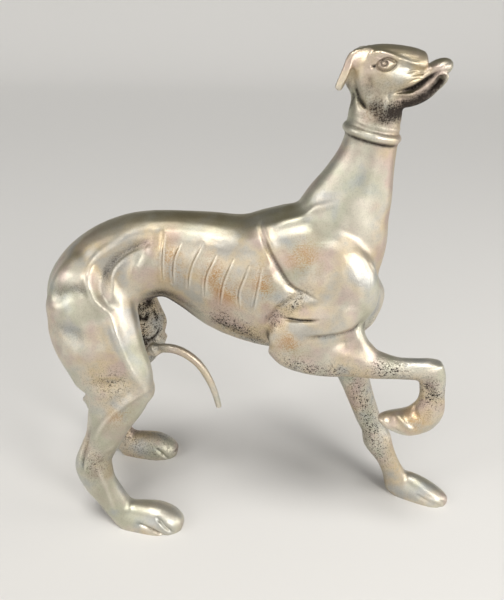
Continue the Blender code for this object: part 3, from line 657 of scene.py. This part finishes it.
def almond(middle, reach, waist=0):
    """A closed line in side view, an oval drawn in by waist at its front corner, less at its rear."""
    turn = np.linspace(0, 2 * math.pi, 25)
    along = reach[0] * np.cos(turn)
    drawn_in = waist * np.where(along > 0, 1, EYE_REAR_WAIST) * np.cos(turn) ** 2
    up = reach[1] * np.sin(turn) * (1 - drawn_in)
    cos, sin = math.cos(EYE_TILT), math.sin(EYE_TILT)
    return np.array((along * cos - up * sin, along * sin + up * cos)).T + middle


def refine(dog, zones):
    """Cuts each face of the skin inside the zones in four."""
    bm = bmesh.new()
    bm.from_mesh(dog.data)
    corners = np.array([vert.co for vert in bm.verts]) / UNIT
    chosen = np.zeros(len(corners), bool)
    for low, high in zones:
        chosen |= np.all((corners > low) & (corners < high), axis=1)
    edges = [edge for edge in bm.edges if chosen[edge.verts[0].index] and chosen[edge.verts[1].index]]
    bmesh.ops.subdivide_edges(bm, edges=edges, cuts=1, use_grid_fill=True)
    bm.to_mesh(dog.data)
    bm.free()


def build_body():
    """The big masses, run together so that one flows into the next."""
    bm = bmesh.new()
    tube(bm, TORSO, sides=28)
    tube(bm, NECK, sides=24)
    for side_of, place in ((mirrored, list), (list, set_back)):
        tube(bm, place(side_of(HIND_LEG)))
        tube(bm, place(side_of(HIND_PAW)))
    tube(bm, mirrored(SHOULDER))
    tube(bm, [(row[0] - FAR_SHOULDER_SETBACK, *row[1:]) for row in SHOULDER])
    tube(bm, STANDING_FORELEG)
    tube(bm, FORE_PAW)
    tube(bm, mirrored(UPPER_ARM))
    tube(bm, mirrored(ARM_ROOT), sides=14)
    tube(bm, mirrored(RAISED_FORELEG))
    tube(bm, mirrored(RAISED_PAW))
    tube(bm, SKULL)
    for place in (mirrored(KNEE), set_back(KNEE)):
        tube(bm, place, sides=14)
    body = joined(as_object(bm), BODY_VOXEL * UNIT)
    skin = Skin(body.data)
    skin.fill_creases(BODY_FILLING)
    skin.soften(BODY_SOFTENING)
    skin.write()
    return body


def add_small_forms(body):
    """The body with the jaws, ears, tail and collar joined on, in a finer skin."""
    bm = bmesh.new()
    bm.from_mesh(body.data)
    drop(body)
    tube(bm, BROW)
    tube(bm, MUZZLE)
    tube(bm, JAW)
    for side, lip in ((NEAR, mirrored(LIP)), (FAR, LIP)):
        tube(bm, lip, sides=10)
        add_ear(bm, side)
    tube(bm, FAR_HEEL, sides=12)
    add_tail(bm)
    add_ring(bm, COLLAR_MIDDLE, COLLAR_RADIUS, COLLAR_THICKNESS)
    add_ring(bm, BAND_MIDDLE, BAND_RADIUS, COLLAR_BAND_THICKNESS)
    return joined(as_object(bm), SKIN_VOXEL * UNIT)


def carve_all(dog):
    """Everything that is sunk into the skin or stands up from it, coarse work first."""
    skin = Skin(dog.data)
    skin.fill_creases(JOIN_FILLING)
    skin.soften(JOIN_SOFTENING)
    for sides, half_width, depth, line in BROAD_STROKES:
        skin.carve(sides, half_width, depth, line)
    skin.soften(BROAD_SOFTENING)
    skin.write()
    refine(dog, FINE_ZONES)
    refine(dog, EYE_ZONES)
    skin = Skin(dog.data)
    skin.soften(BROAD_SOFTENING)
    for line in RIB_SLOTS:
        skin.carve((NEAR, FAR), RIB_LIP_WIDTH, -RIB_LIP_HEIGHT, line)
        skin.carve((NEAR, FAR), RIB_WIDTH, RIB_DEPTH, line)
    for sides, half_width, depth, line in FINE_STROKES:
        skin.carve(sides, half_width, depth, line)
    for side, line in toe_lines():
        skin.carve((side,), TOE_GAP_WIDTH, TOE_GAP_DEPTH, line)
    for share, half_width, depth in EYE_LINES:
        lid = almond(EYE_MIDDLE, [reach * share for reach in EYE_REACH], EYE_WAIST)
        skin.carve((NEAR, FAR), half_width, depth, lid, False)
    skin.carve((NEAR, FAR), *IRIS_LINE, almond(IRIS_MIDDLE, IRIS_REACH), False)
    skin.carve((NEAR, FAR), *PUPIL_DENT, almond(IRIS_MIDDLE, PUPIL_REACH), False)
    skin.soften(LAST_SOFTENING)
    skin.write()


def stand(dog):
    """Flat soles on the ground, and the origin under the middle of the dog."""
    bm = bmesh.new()
    bm.from_mesh(dog.data)
    everything = bm.verts[:] + bm.edges[:] + bm.faces[:]
    cut = bmesh.ops.bisect_plane(
        bm, geom=everything, plane_co=(0, 0, 0), plane_no=(0, 0, 1), clear_inner=True
    )
    rims = [piece for piece in cut["geom_cut"] if isinstance(piece, bmesh.types.BMEdge)]
    bmesh.ops.triangle_fill(bm, edges=rims, use_beauty=True, normal=(0, 0, -1))
    corners = np.array([vert.co for vert in bm.verts])
    middle = (corners.min(axis=0) + corners.max(axis=0)) / 2
    bmesh.ops.translate(bm, verts=bm.verts, vec=(-middle[0], -middle[1], 0))
    bmesh.ops.triangulate(bm, faces=bm.faces)
    bm.to_mesh(dog.data)
    bm.free()


# Where the looks change over the skin: sides, half width, strength and points, in side view or in
# space. Stains are copper, raw places are rough casting with pits, and the shade and grime places are
# painted shade in creases, grooves and cracks, under the belly, jaw and collar and in the mouth, with some
# dirt.
STAINS = (
    ((NEAR, FAR), 7, 1, ((-46, 198), (-40, 176))),
    ((NEAR, FAR), 8, 1, ((-22, 192), (-14, 176), (-2, 170))),
    ((NEAR, FAR), 6, 1, ((8, 188), (12, 172))),
    ((NEAR, FAR), 9, 0.8, ((26, 202), (38, 192))),
    ((NEAR,), 7, 1, ((22, 152), (30, 142))),
    ((NEAR,), 5, 0.8, ((100, 92), (108, 98))),
    ((NEAR, FAR), 6, 0.7, ((-74, 98), (-82, 88))),
    ((NEAR, FAR), 5, 0.6, ((70, 272), (62, 276))),
)
RAW_PLACES = (
    ((NEAR, FAR), 13, 1, ((-12, 12, 134), (22, 16, 124), (50, 8, 126))),
    ((NEAR, FAR), 9, 1, ((-22, 21, 156), (-8, 20, 148), (6, 17, 138))),
    ((NEAR,), 6, 1, ((22, 32, 134), (33, 33, 129.5), (44, 33, 127.5), (64, 32.5, 127))),
    ((NEAR,), 6, 1, ((74, 32, 129.5), (81.2, 32, 129.8), (88, 31, 128.7), (96, 31, 126.5))),
    ((NEAR,), 9, 1, ((74, 14, 150), (70, 16, 120), (84, 14, 60))),
    ((FAR,), 20, 1, ((-74, 18, 150), (-74, 18, 120), (-92, 22, 70))),
    ((FAR,), 12, 0.8, ((-112, 37, 20), (-92, 37, 6), (-66, 37, 4))),
    ((NEAR,), 8, 0.8, ((20, 24, 126), (60, 24, 118), (96, 24, 119))),
    ((NEAR,), 9, 0.7, ((-92, 40, 114), (-80, 40, 116), (-84, 40, 104))),
    ((NEAR,), 7, 0.6, ((-96, 44, 66), (-98, 45, 44))),
    ((FAR,), 8, 0.9, ((66, 8, 104), (82, 7, 62), (94, 6, 26))),
    ((NEAR,), 7, 1, ((106.5, 30, 123.3), (111.5, 30, 115), (113.2, 30, 104))),
    ((NEAR, FAR), 6, 0.8, ((66, 8, 271), (84, 5, 275), (94, 4, 280))),
    ((NEAR,), 4, 1, ((34, 30, 176), (21, 30, 165), (12, 28, 151))),
)
# Painted shade, with some dirt: in creases, grooves and cracks, under the belly, jaw and collar, and in the
# mouth
SHADE_AND_GRIME_PLACES = (
    ((NEAR, FAR), 8, 0.9, ((-70, 12, 158), (-54, 10, 159), (-43, 8, 156), (-29, 6, 148))),
    ((NEAR, FAR), 5, 0.8, ((-66, 15, 163), (-54, 15, 166), (-45, 15, 166), (-37, 14, 162), (-27, 14, 154))),
    ((NEAR, FAR), 5, 0.5, ((-27, 14, 154), (-15, 17, 150), (-6, 18, 144), (4, 18, 137), (11, 18, 132))),
    ((NEAR, FAR), 5.5, 1, ((66, 271), (73, 272.6), (80, 272.4), (87, 274.2), (92, 277.4), (97, 282.4))),
    ((NEAR, FAR), 3, 1, ((76, 276.4), (81, 276.4), (86, 277.8), (91, 280.6), (94.6, 283.4), (97.4, 287.2))),
    ((NEAR, FAR), 2.8, 1, ((90, 279.4), (93.4, 281.8), (96.2, 285), (98, 287.6), (98.8, 289.6))),
    ((NEAR, FAR), 1.5, 1, ((78, 283), (84, 284.3), (88, 286.7), (92, 289.7), (96.5, 292.4))),
    ((NEAR, FAR), 6, 0.8, ((62, 13, 273), (66.6, 12.3, 275), (69.8, 12.2, 271), (77.6, 7, 269))),
    ((NEAR, FAR), 2.6, 0.55, ((52, 288), (50.5, 281), (50, 273))),
    ((NEAR, FAR), 1.6, 0.42, ((61.2, 290.6), (62.4, 287), (63.4, 284))),
    ((NEAR,), 3, 0.8, ((69, 24, 156), (73, 20, 150))),
    ((NEAR,), 3.5, 0.8, ((12, 28, 150), (14, 24, 140))),
    ((NEAR,), 0.9, 1, ((23, 159.7), (31, 160.3), (41, 161.4))),
    ((NEAR, FAR), 1.8, 0.5, ((8, 208), (13, 199.5), (19, 189.3), (25, 180.5), (32, 175))),
    ((NEAR,), 1.6, 0.45, ((34, 150.2), (48, 150.6), (62, 153), (68, 159))),
    ((FAR,), 4, 1, ((-84, 16, 134), (-76, 22, 140), (-66, 20, 140))),
    ((FAR,), 5, 1, ((-82, 20, 116), (-78, 22, 104))),
    ((NEAR, FAR), 3.5, 0.8, ((-72, 22, 150), (-69, 20, 138))),
    ((NEAR, FAR), 1, 0.9, ((55, 285), (57.6, 278.4), (61.9, 273.5))),
    ((NEAR, FAR), 0.9, 0.9, ((64.6, 295.4), (62.4, 294.8))),
    ((NEAR, FAR), 3.4, 0.5, ((-54, 201), (-66, 195.5), (-76.5, 189), (-82.5, 181), (-82, 171))),
    ((NEAR, FAR), 4.5, 0.42, ((-116, 167), (-108, 171.5), (-99, 174), (-88, 172))),
    ((NEAR, FAR), 6, 0.28, ((-117, 151), (-104, 147), (-92, 148))),
    ((NEAR, FAR), 1.2, 0.9, ((49.8, 261), (66, 257.4), (82, 254))),
    ((NEAR, FAR), 0.8, 0.6, ((50, 266), (66, 262.9), (82, 259.4))),
    ((FAR,), 1.8, 1, ((-79, 18, 134), (-77.6, 19, 129), (-74.8, 20.5, 127.3), (-73.1, 21.2, 132.7))),
    (
        (FAR,), 1.5, 0.9,
        ((-78.3, 20.7, 111.4), (-73, 22.8, 110.6), (-68.8, 25.1, 114.5), (-67.3, 26.5, 118.8)),
    ),
    ((FAR,), 1.3, 0.8, ((-71.3, 23.1, 135), (-68.3, 26.6, 126.9), (-69.5, 24.7, 124.6))),
    ((NEAR, FAR), 10, 0.26, ((62, 284), (74, 284), (84, 287))),
    ((NEAR, FAR), 3, 0.45, ((60, 288), (61.5, 284), (63, 280))),
    ((NEAR,), 4, 0.4, ((106.5, 30, 123.3), (111.5, 30, 115), (113.2, 30, 109.3))),
    ((NEAR, FAR), 2.5, 0.8, ((54.3, 5.4, 281.9), (53.8, 4.8, 278.3), (52.1, 1.2, 272.7))),
    ((NEAR, FAR), 1.4, 0.4, ((-98, 82), (-101.5, 71), (-105, 59), (-106, 48))),
    ((NEAR, FAR), 1, 0.5, ((-66, 5.8), (-60, 3.4), (-56, 1))),
)
# Painted highlights on both sides: half width, strength and points in space
PAINTED_HIGHLIGHT_PLACES = (
    (6.5, 1, ((60.7, 15.8, 230), (61.6, 16.4, 222), (62.5, 16.7, 215.8), (64, 16.6, 203))),
    (4, 0.8, ((56.9, 17.6, 219), (53.3, 17.9, 211.7))),
    (7, 0.25, ((-40, 24, 205), (-20, 24, 206), (0, 24, 207))),
    (5, 0.8, ((-50, 30, 198), (-54, 30, 188))),
)
# Browned like the upper sides: half width and points in space
AGED_PLACES = (
    (17, ((60, 0, 284), (88, 0, 292))),
    (14, ((66, 0, 270), (67, 0, 262))),
    (12, ((-90, -37, 60), (-95, -37, 40))),
)
AGED_STRENGTH = 0.6

# Rounds of smoothing that find the hollows, which get painted shade with some dirt, and the rise in units
# that counts as a full hollow
HOLLOW_ROUNDS = 14
HOLLOW_REACH = 0.9

# Upper sides get a painted dark reflection, with brown patina, from this upward slope, over this much
# more, and from this height, over this much more, with this share of it lower down
TOP_SLOPE, TOP_SLOPE_RANGE = 0.6, 0.35
TOP_HEIGHT, TOP_HEIGHT_RANGE = 165, 20
LOW_TOP_SHARE = 0.2

# A painted highlight along the front edge of each rib slot: how far in front of the slot, and its half width
RIB_HIGHLIGHT_FORWARD, RIB_HIGHLIGHT_WIDTH = 0.9, 0.8

# Finishes, as linear colours
SILVER = (0.63, 0.585, 0.50)
WORN_BRASS = (0.60, 0.475, 0.29)
ROSY = (0.52, 0.405, 0.37)
OLIVE = (0.42, 0.44, 0.32)
COOL = (0.40, 0.425, 0.44)
# Painted dark reflection on the upper sides, with brown patina
TOP_SHADE_AND_PATINA = (0.25, 0.22, 0.125)
COPPER = (0.50, 0.265, 0.085)
# Rubbed bright edges, and painted highlights on crests and at the painted highlight places
RUBBED_AND_HIGHLIGHT = (0.84, 0.79, 0.68)
# Painted shade colour, which also darkens the pits and dirt specks
SHADE_AND_DIRT = (0.022, 0.014, 0.009)
FLOOR_GREY = (0.68, 0.67, 0.65)

# Noises of the finish, each in blobs a metre and layers of detail
WAVES = (50, 1.5)
CLOUDS = (34, 4)
PATCHES = (62, 5)
BLOTCHES = (520, 4)
SPECKS = (1300, 5)
GRAIN = (2600, 3)

# Depth of its relief, in metres: slow waves left by polishing, the rough casting and the finest grain
WAVE_DEPTH, CAST_DEPTH, GRAIN_DEPTH = 0.0009, 0.0002, 0.00006

# Floor, in metres: half length, front and back edge, and the sweep that rises behind it
FLOOR_REACH = 4
FLOOR_FRONT, FLOOR_BACK = -1.5, 2.2
SWEEP_RADIUS = 1.2
SWEEP_TURN = math.radians(80)
SWEEP_STEPS = 24

# Even light: name, direction it comes from, spread in degrees, strength and colour
SKIES = (
    ("ceiling", (0, -0.3, 1.1), 24, 1.75, (1, 0.99, 0.97)),
    ("window", (-0.4, -1, 0.2), 56, 0.92, (1, 0.985, 0.96)),
)
# Panels: name, place and size in metres, power in watts and colour
PANELS = (
    ("right_front", (0.62, -0.6, 0.5), (0.26, 0.4), 4, (1, 0.98, 0.95)),
    ("right_side", (1.1, -0.1, 0.4), (0.5, 0.6), 3.5, (1, 0.97, 0.93)),
    ("left_side", (-1, -0.4, 0.7), (0.4, 0.5), 3.5, (1, 0.98, 0.95)),
)
PANEL_AIM = (0, 0, 0.15)
ROOM_GREY, ROOM_STRENGTH = 0.5, 0.3

# Camera, as the photograph's: lens and sensor in millimetres, place and distance in units
LENS = 37.2
SENSOR_WIDTH = 36
CAMERA_AZIMUTH = math.radians(6)
CAMERA_ELEVATION = math.radians(26)
CAMERA_TARGET = (-2.46, 0, 156.2)
CAMERA_DISTANCE = 387.1


class Wire:
    """A shader socket in plain arithmetic: each sum on it adds a Math node."""

    def __init__(self, finish, socket):
        self.finish = finish
        self.socket = socket

    def sum(self, operation, first, second):
        """The result of one Math node."""
        return self.finish.node("ShaderNodeMath", {"operation": operation}, {0: first, 1: second})

    def __add__(self, other):
        return self.sum("ADD", self, other)

    def __radd__(self, other):
        return self.sum("ADD", other, self)

    def __sub__(self, other):
        return self.sum("SUBTRACT", self, other)

    def __rsub__(self, other):
        return self.sum("SUBTRACT", other, self)

    def __mul__(self, other):
        return self.sum("MULTIPLY", self, other)

    def __rmul__(self, other):
        return self.sum("MULTIPLY", other, self)


class Finish:
    """A material in the making, whose nodes all come from one method."""

    def __init__(self, name):
        self.material = bpy.data.materials.new(name)
        self.material.use_nodes = True
        self.tree = self.material.node_tree
        self.shader = self.tree.nodes["Principled BSDF"]

    def put(self, socket, value):
        """Links or sets one socket."""
        if isinstance(value, Wire):
            self.tree.links.new(value.socket, socket)
        elif isinstance(value, tuple) and socket.type == "RGBA":
            socket.default_value = (*value, 1)
        else:
            socket.default_value = value

    def node(self, kind, settings, inputs, output=0):
        """A new node with its settings made first, then its sockets; gives one output back."""
        made = self.tree.nodes.new(kind)
        for setting, value in settings.items():
            if setting == "stops":
                for element, (place, shade) in zip(made.color_ramp.elements, value):
                    element.position = place
                    element.color = (shade, shade, shade, 1)
            else:
                setattr(made, setting, value)
        for name, value in inputs.items():
            self.put(made.inputs[name], value)
        return Wire(self, made.outputs[output])

    def mask(self, name):
        """A value painted on the skin's points."""
        return self.node("ShaderNodeAttribute", {"attribute_name": name}, {}, "Fac")

    def noise(self, scale, detail):
        """Cloudy noise over the object, its scale in blobs a metre."""
        place = self.node("ShaderNodeTexCoord", {}, {}, "Object")
        return self.node("ShaderNodeTexNoise", {}, {"Vector": place, "Scale": scale, "Detail": detail})

    def ramp(self, value, low, high):
        """0 below low, 1 above high."""
        return self.node("ShaderNodeValToRGB", {"stops": ((low, 0), (high, 1))}, {0: value})

    def blend(self, share, first, second):
        """One colour over another."""
        return self.node("ShaderNodeMix", {"data_type": "RGBA"}, {0: share, 6: first, 7: second}, 2)

    def bump(self, height, depth, under=None):
        """Relief of this depth in metres, on top of another relief."""
        inputs = {"Height": height, "Distance": depth, "Strength": 1.0}
        if under:
            inputs["Normal"] = under
        return self.node("ShaderNodeBump", {}, inputs)

    def finished(self, sockets):
        """Fills the main shader's sockets."""
        for name, value in sockets.items():
            self.put(self.shader.inputs[name], value)
        return self.material


def silvered_brass():
    """Worn silver plate over brass: cloudy tones, copper stains, rough casting, painted shade with some
    dirt, a painted dark reflection with patina on upper sides, painted highlights.
    """
    metal = Finish("silvered brass")
    hollow = metal.mask("hollow")
    crest = metal.mask("crest")
    top = metal.mask("top")
    stain = metal.mask("stain")
    raw = metal.mask("raw")
    shade_and_grime = metal.mask("shade_and_grime")
    clouds = metal.noise(*CLOUDS)
    patches = metal.noise(*PATCHES)
    blotches = metal.noise(*BLOTCHES)
    specks = metal.noise(*SPECKS)

    worn = metal.ramp(clouds, 0.45, 0.62) * 0.75
    colour = metal.blend(worn, SILVER, WORN_BRASS)
    colour = metal.blend(metal.ramp(patches, 0.50, 0.64) * 0.7, colour, ROSY)
    colour = metal.blend(metal.ramp(1 - clouds, 0.50, 0.64) * 0.6, colour, OLIVE)
    colour = metal.blend(metal.ramp(1 - patches, 0.52, 0.66) * 0.6, colour, COOL)
    # Painted dark reflection with patina on the upper sides, and patina on the aged places
    colour = metal.blend(top * (0.45 + patches * 0.8), colour, TOP_SHADE_AND_PATINA)
    copper = metal.ramp(patches * 0.5 + specks * 0.5, 0.41, 0.56) * stain
    colour = metal.blend(copper * 0.85, colour, COPPER)
    # Crests rubbed bright, with painted highlights on them and at the painted highlight places
    colour = metal.blend(metal.ramp(crest, 0.15, 0.8) * 0.5, colour, RUBBED_AND_HIGHLIGHT)
    # Painted shade in the hollows, with some dirt
    hollow_shade = metal.ramp(hollow * (0.5 + specks), 0.3, 1.0)
    # Painted shade from the shade and grime places, mottled
    shade_crust = metal.ramp(shade_and_grime * (0.45 + blotches * 0.45 + specks * 0.5), 0.12, 0.85)
    pits = metal.ramp(blotches * 0.55 + specks * 0.45, 0.525, 0.59) * raw
    soiled = metal.ramp(specks, 0.46, 0.64) * (0.14 + raw * 0.4)
    # Painted shade from the hollows and the shade places, with dark pits and dirt specks, all towards one
    # dark colour
    dark = metal.ramp(hollow_shade * 0.5 + shade_crust * 0.98 + pits * 0.7 + soiled, 0.02, 1.0)
    colour = metal.blend(dark, colour, SHADE_AND_DIRT)

    rough = 0.31 + patches * 0.10 + dark * 0.4 + raw * 0.12 + copper * 0.08
    wavy = metal.bump(metal.noise(*WAVES), WAVE_DEPTH)
    cast = metal.bump(specks * (0.35 + raw * 1.4) - pits * 2.5, CAST_DEPTH, wavy)
    fine = metal.bump(metal.noise(*GRAIN), GRAIN_DEPTH, cast)
    return metal.finished(
        {"Base Color": colour, "Metallic": 0.84 - dark * 0.55, "Roughness": rough, "Normal": fine}
    )


def paint(dog):
    """The masks that the finish reads: hollows and shade places for painted shade with some dirt, crests and
    painted highlights, upper sides for a painted dark reflection with patina, stains and raw metal.
    """
    skin = Skin(dog.data)
    out = skin.normals()
    before = skin.points.copy()
    for _ in range(HOLLOW_ROUNDS):
        skin.points += SOFTENING_STRENGTH * skin.pull()
    rise = np.einsum("ij,ij->i", skin.points - before, out) / HOLLOW_REACH
    skin.points = before
    values = {"hollow": np.clip(rise, 0, 1), "crest": np.clip(-rise, 0, 1)}
    aged = [skin.nearness(np.array(line, float), half_width) for half_width, line in AGED_PLACES]
    upward = np.clip((out[:, 2] - TOP_SLOPE) / TOP_SLOPE_RANGE, 0, 1)
    upward *= np.clip((before[:, 2] - TOP_HEIGHT) / TOP_HEIGHT_RANGE, LOW_TOP_SHARE, 1)
    values["top"] = np.maximum(upward, AGED_STRENGTH * np.max(aged, axis=0))
    # Painted highlights at the listed places
    for half_width, strength, line in PAINTED_HIGHLIGHT_PLACES:
        for side in (NEAR, FAR):
            near = skin.nearness(np.array(line, float) * (1, side, 1), half_width)
            values["crest"] = np.maximum(values["crest"], strength * near)
    # Painted highlight along each rib slot's front lip, which also takes out the hollows' painted shade
    # there
    for line in RIB_SLOTS:
        rib_highlight = skin.nearness(np.array(line, float) + (RIB_HIGHLIGHT_FORWARD, 0), RIB_HIGHLIGHT_WIDTH)
        values["crest"] = np.maximum(values["crest"], rib_highlight)
        values["hollow"] *= 1 - rib_highlight
    for name, places in (("stain", STAINS), ("raw", RAW_PLACES), ("shade_and_grime", SHADE_AND_GRIME_PLACES)):
        total = np.zeros(len(before))
        for sides, half_width, strength, line in places:
            line = np.array(line, float)
            for side in sides:
                if line.shape[1] == 3:
                    near = skin.nearness(line * (1, side, 1), half_width)
                else:
                    near = skin.nearness(line, half_width) * (side * before[:, 1] > 0)
                total = np.maximum(total, strength * near)
        values[name] = total
    # Painted shade along the carved eye lines and round the iris
    lid, iris = almond(EYE_MIDDLE, EYE_REACH, EYE_WAIST), almond(IRIS_MIDDLE, IRIS_REACH)
    for line, (strength, half_width) in ((lid, EYE_SHADE), (iris, IRIS_SHADE)):
        ringed = strength * skin.nearness(line, half_width, False)
        values["shade_and_grime"] = np.maximum(values["shade_and_grime"], ringed)
    for name, value in values.items():
        layer = dog.data.attributes.new(name, "FLOAT", "POINT")
        layer.data.foreach_set("value", value.astype(np.float32))


def fit_to_frame(dog):
    """Moves the dog from its drawing to the place and size of the solid that it stands for."""
    low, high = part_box(NAME)
    corners = np.empty((len(dog.data.vertices), 3), np.float32)
    dog.data.vertices.foreach_get("co", corners.ravel())
    own_low, own_high = Vector(corners.min(axis=0)), Vector(corners.max(axis=0))
    share = [(high[axis] - low[axis]) / (own_high[axis] - own_low[axis]) for axis in range(3)]
    place = Matrix.Translation(low) @ Matrix.Diagonal((*share, 1)) @ Matrix.Translation(-own_low)
    dog.data.transform(place)


def make_dog():
    """The finished casting."""
    dog = add_small_forms(build_body())
    carve_all(dog)
    faces = sum(len(face.vertices) - 2 for face in dog.data.polygons)
    applied(dog, "DECIMATE", ratio=KEPT_TRIANGLES / faces)
    paint(dog)
    stand(dog)
    fit_to_frame(dog)
    dog.data.shade_smooth()
    dog.name = "greyhound_casting"
    dog.data.materials.clear()
    dog.data.materials.append(silvered_brass())
    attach(dog, "root")
    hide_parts(NAME)
    return dog


def add_floor():
    """A pale seamless floor that curves up far behind."""
    bm = bmesh.new()
    front = bmesh.ops.create_vert(bm, co=(-FLOOR_REACH, FLOOR_FRONT, 0))["vert"]
    back = bmesh.ops.create_vert(bm, co=(-FLOOR_REACH, FLOOR_BACK, 0))["vert"]
    bm.edges.new((front[0], back[0]))
    bmesh.ops.spin(
        bm,
        geom=back,
        cent=(-FLOOR_REACH, FLOOR_BACK, SWEEP_RADIUS),
        axis=(1, 0, 0),
        angle=SWEEP_TURN,
        steps=SWEEP_STEPS,
        use_merge=False,
    )
    sweep = bmesh.ops.extrude_edge_only(bm, edges=bm.edges[:])["geom"]
    moved = [piece for piece in sweep if isinstance(piece, bmesh.types.BMVert)]
    bmesh.ops.translate(bm, verts=moved, vec=(2 * FLOOR_REACH, 0, 0))
    floor = as_object(bm)
    floor.name = "studio_floor"
    floor.data.shade_smooth()
    pale = Finish("pale floor")
    floor.data.materials.append(pale.finished({"Base Color": FLOOR_GREY, "Roughness": 0.8}))


def aimed(name, lamp_data, place, aim):
    """A lamp at its place that faces its aim."""
    lamp = bpy.data.objects.new(name, lamp_data)
    lamp.location = place
    lamp.rotation_euler = (Vector(place) - Vector(aim)).to_track_quat("Z", "Y").to_euler()
    bpy.context.scene.collection.objects.link(lamp)


def add_sky(name, place, spread, strength, colour):
    """Even light from a broad patch of sky in the direction of its place."""
    sky = bpy.data.lights.new(name, "SUN")
    sky.angle = math.radians(spread)
    sky.energy = strength
    sky.color = colour
    aimed(name, sky, place, (0, 0, 0))


def add_panel(name, place, size, power, colour):
    """A soft panel that faces the dog."""
    panel = bpy.data.lights.new(name, "AREA")
    panel.shape = "RECTANGLE"
    panel.size, panel.size_y = size
    panel.energy = power
    panel.color = colour
    aimed(name, panel, place, PANEL_AIM)


def add_studio():
    """The lights and the surrounding tone."""
    world = bpy.data.worlds.new("studio")
    world.use_nodes = True
    surround = world.node_tree.nodes["Background"].inputs
    surround["Color"].default_value = (ROOM_GREY, ROOM_GREY, ROOM_GREY, 1)
    surround["Strength"].default_value = ROOM_STRENGTH
    bpy.context.scene.world = world
    bpy.context.scene.view_settings.view_transform = "Standard"
    for sky in SKIES:
        add_sky(*sky)
    for panel in PANELS:
        add_panel(*panel)


def add_camera():
    """The photograph's viewpoint."""
    lens = bpy.data.cameras.new("camera")
    lens.lens = LENS
    lens.sensor_width = SENSOR_WIDTH
    camera = bpy.data.objects.new("camera", lens)
    away = Vector(
        (
            math.sin(CAMERA_AZIMUTH) * math.cos(CAMERA_ELEVATION),
            -math.cos(CAMERA_AZIMUTH) * math.cos(CAMERA_ELEVATION),
            math.sin(CAMERA_ELEVATION),
        )
    )
    camera.location = (Vector(CAMERA_TARGET) + away * CAMERA_DISTANCE) * UNIT
    camera.rotation_euler = away.to_track_quat("Z", "Y").to_euler()
    bpy.context.scene.collection.objects.link(camera)
    bpy.context.scene.camera = camera


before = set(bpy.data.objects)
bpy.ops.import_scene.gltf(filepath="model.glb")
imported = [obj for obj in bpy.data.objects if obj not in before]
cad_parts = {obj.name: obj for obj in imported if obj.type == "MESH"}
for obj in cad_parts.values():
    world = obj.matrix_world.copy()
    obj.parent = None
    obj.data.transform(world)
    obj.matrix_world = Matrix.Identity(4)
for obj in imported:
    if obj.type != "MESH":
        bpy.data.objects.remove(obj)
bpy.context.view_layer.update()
make_dog()
add_floor()
add_studio()
add_camera()
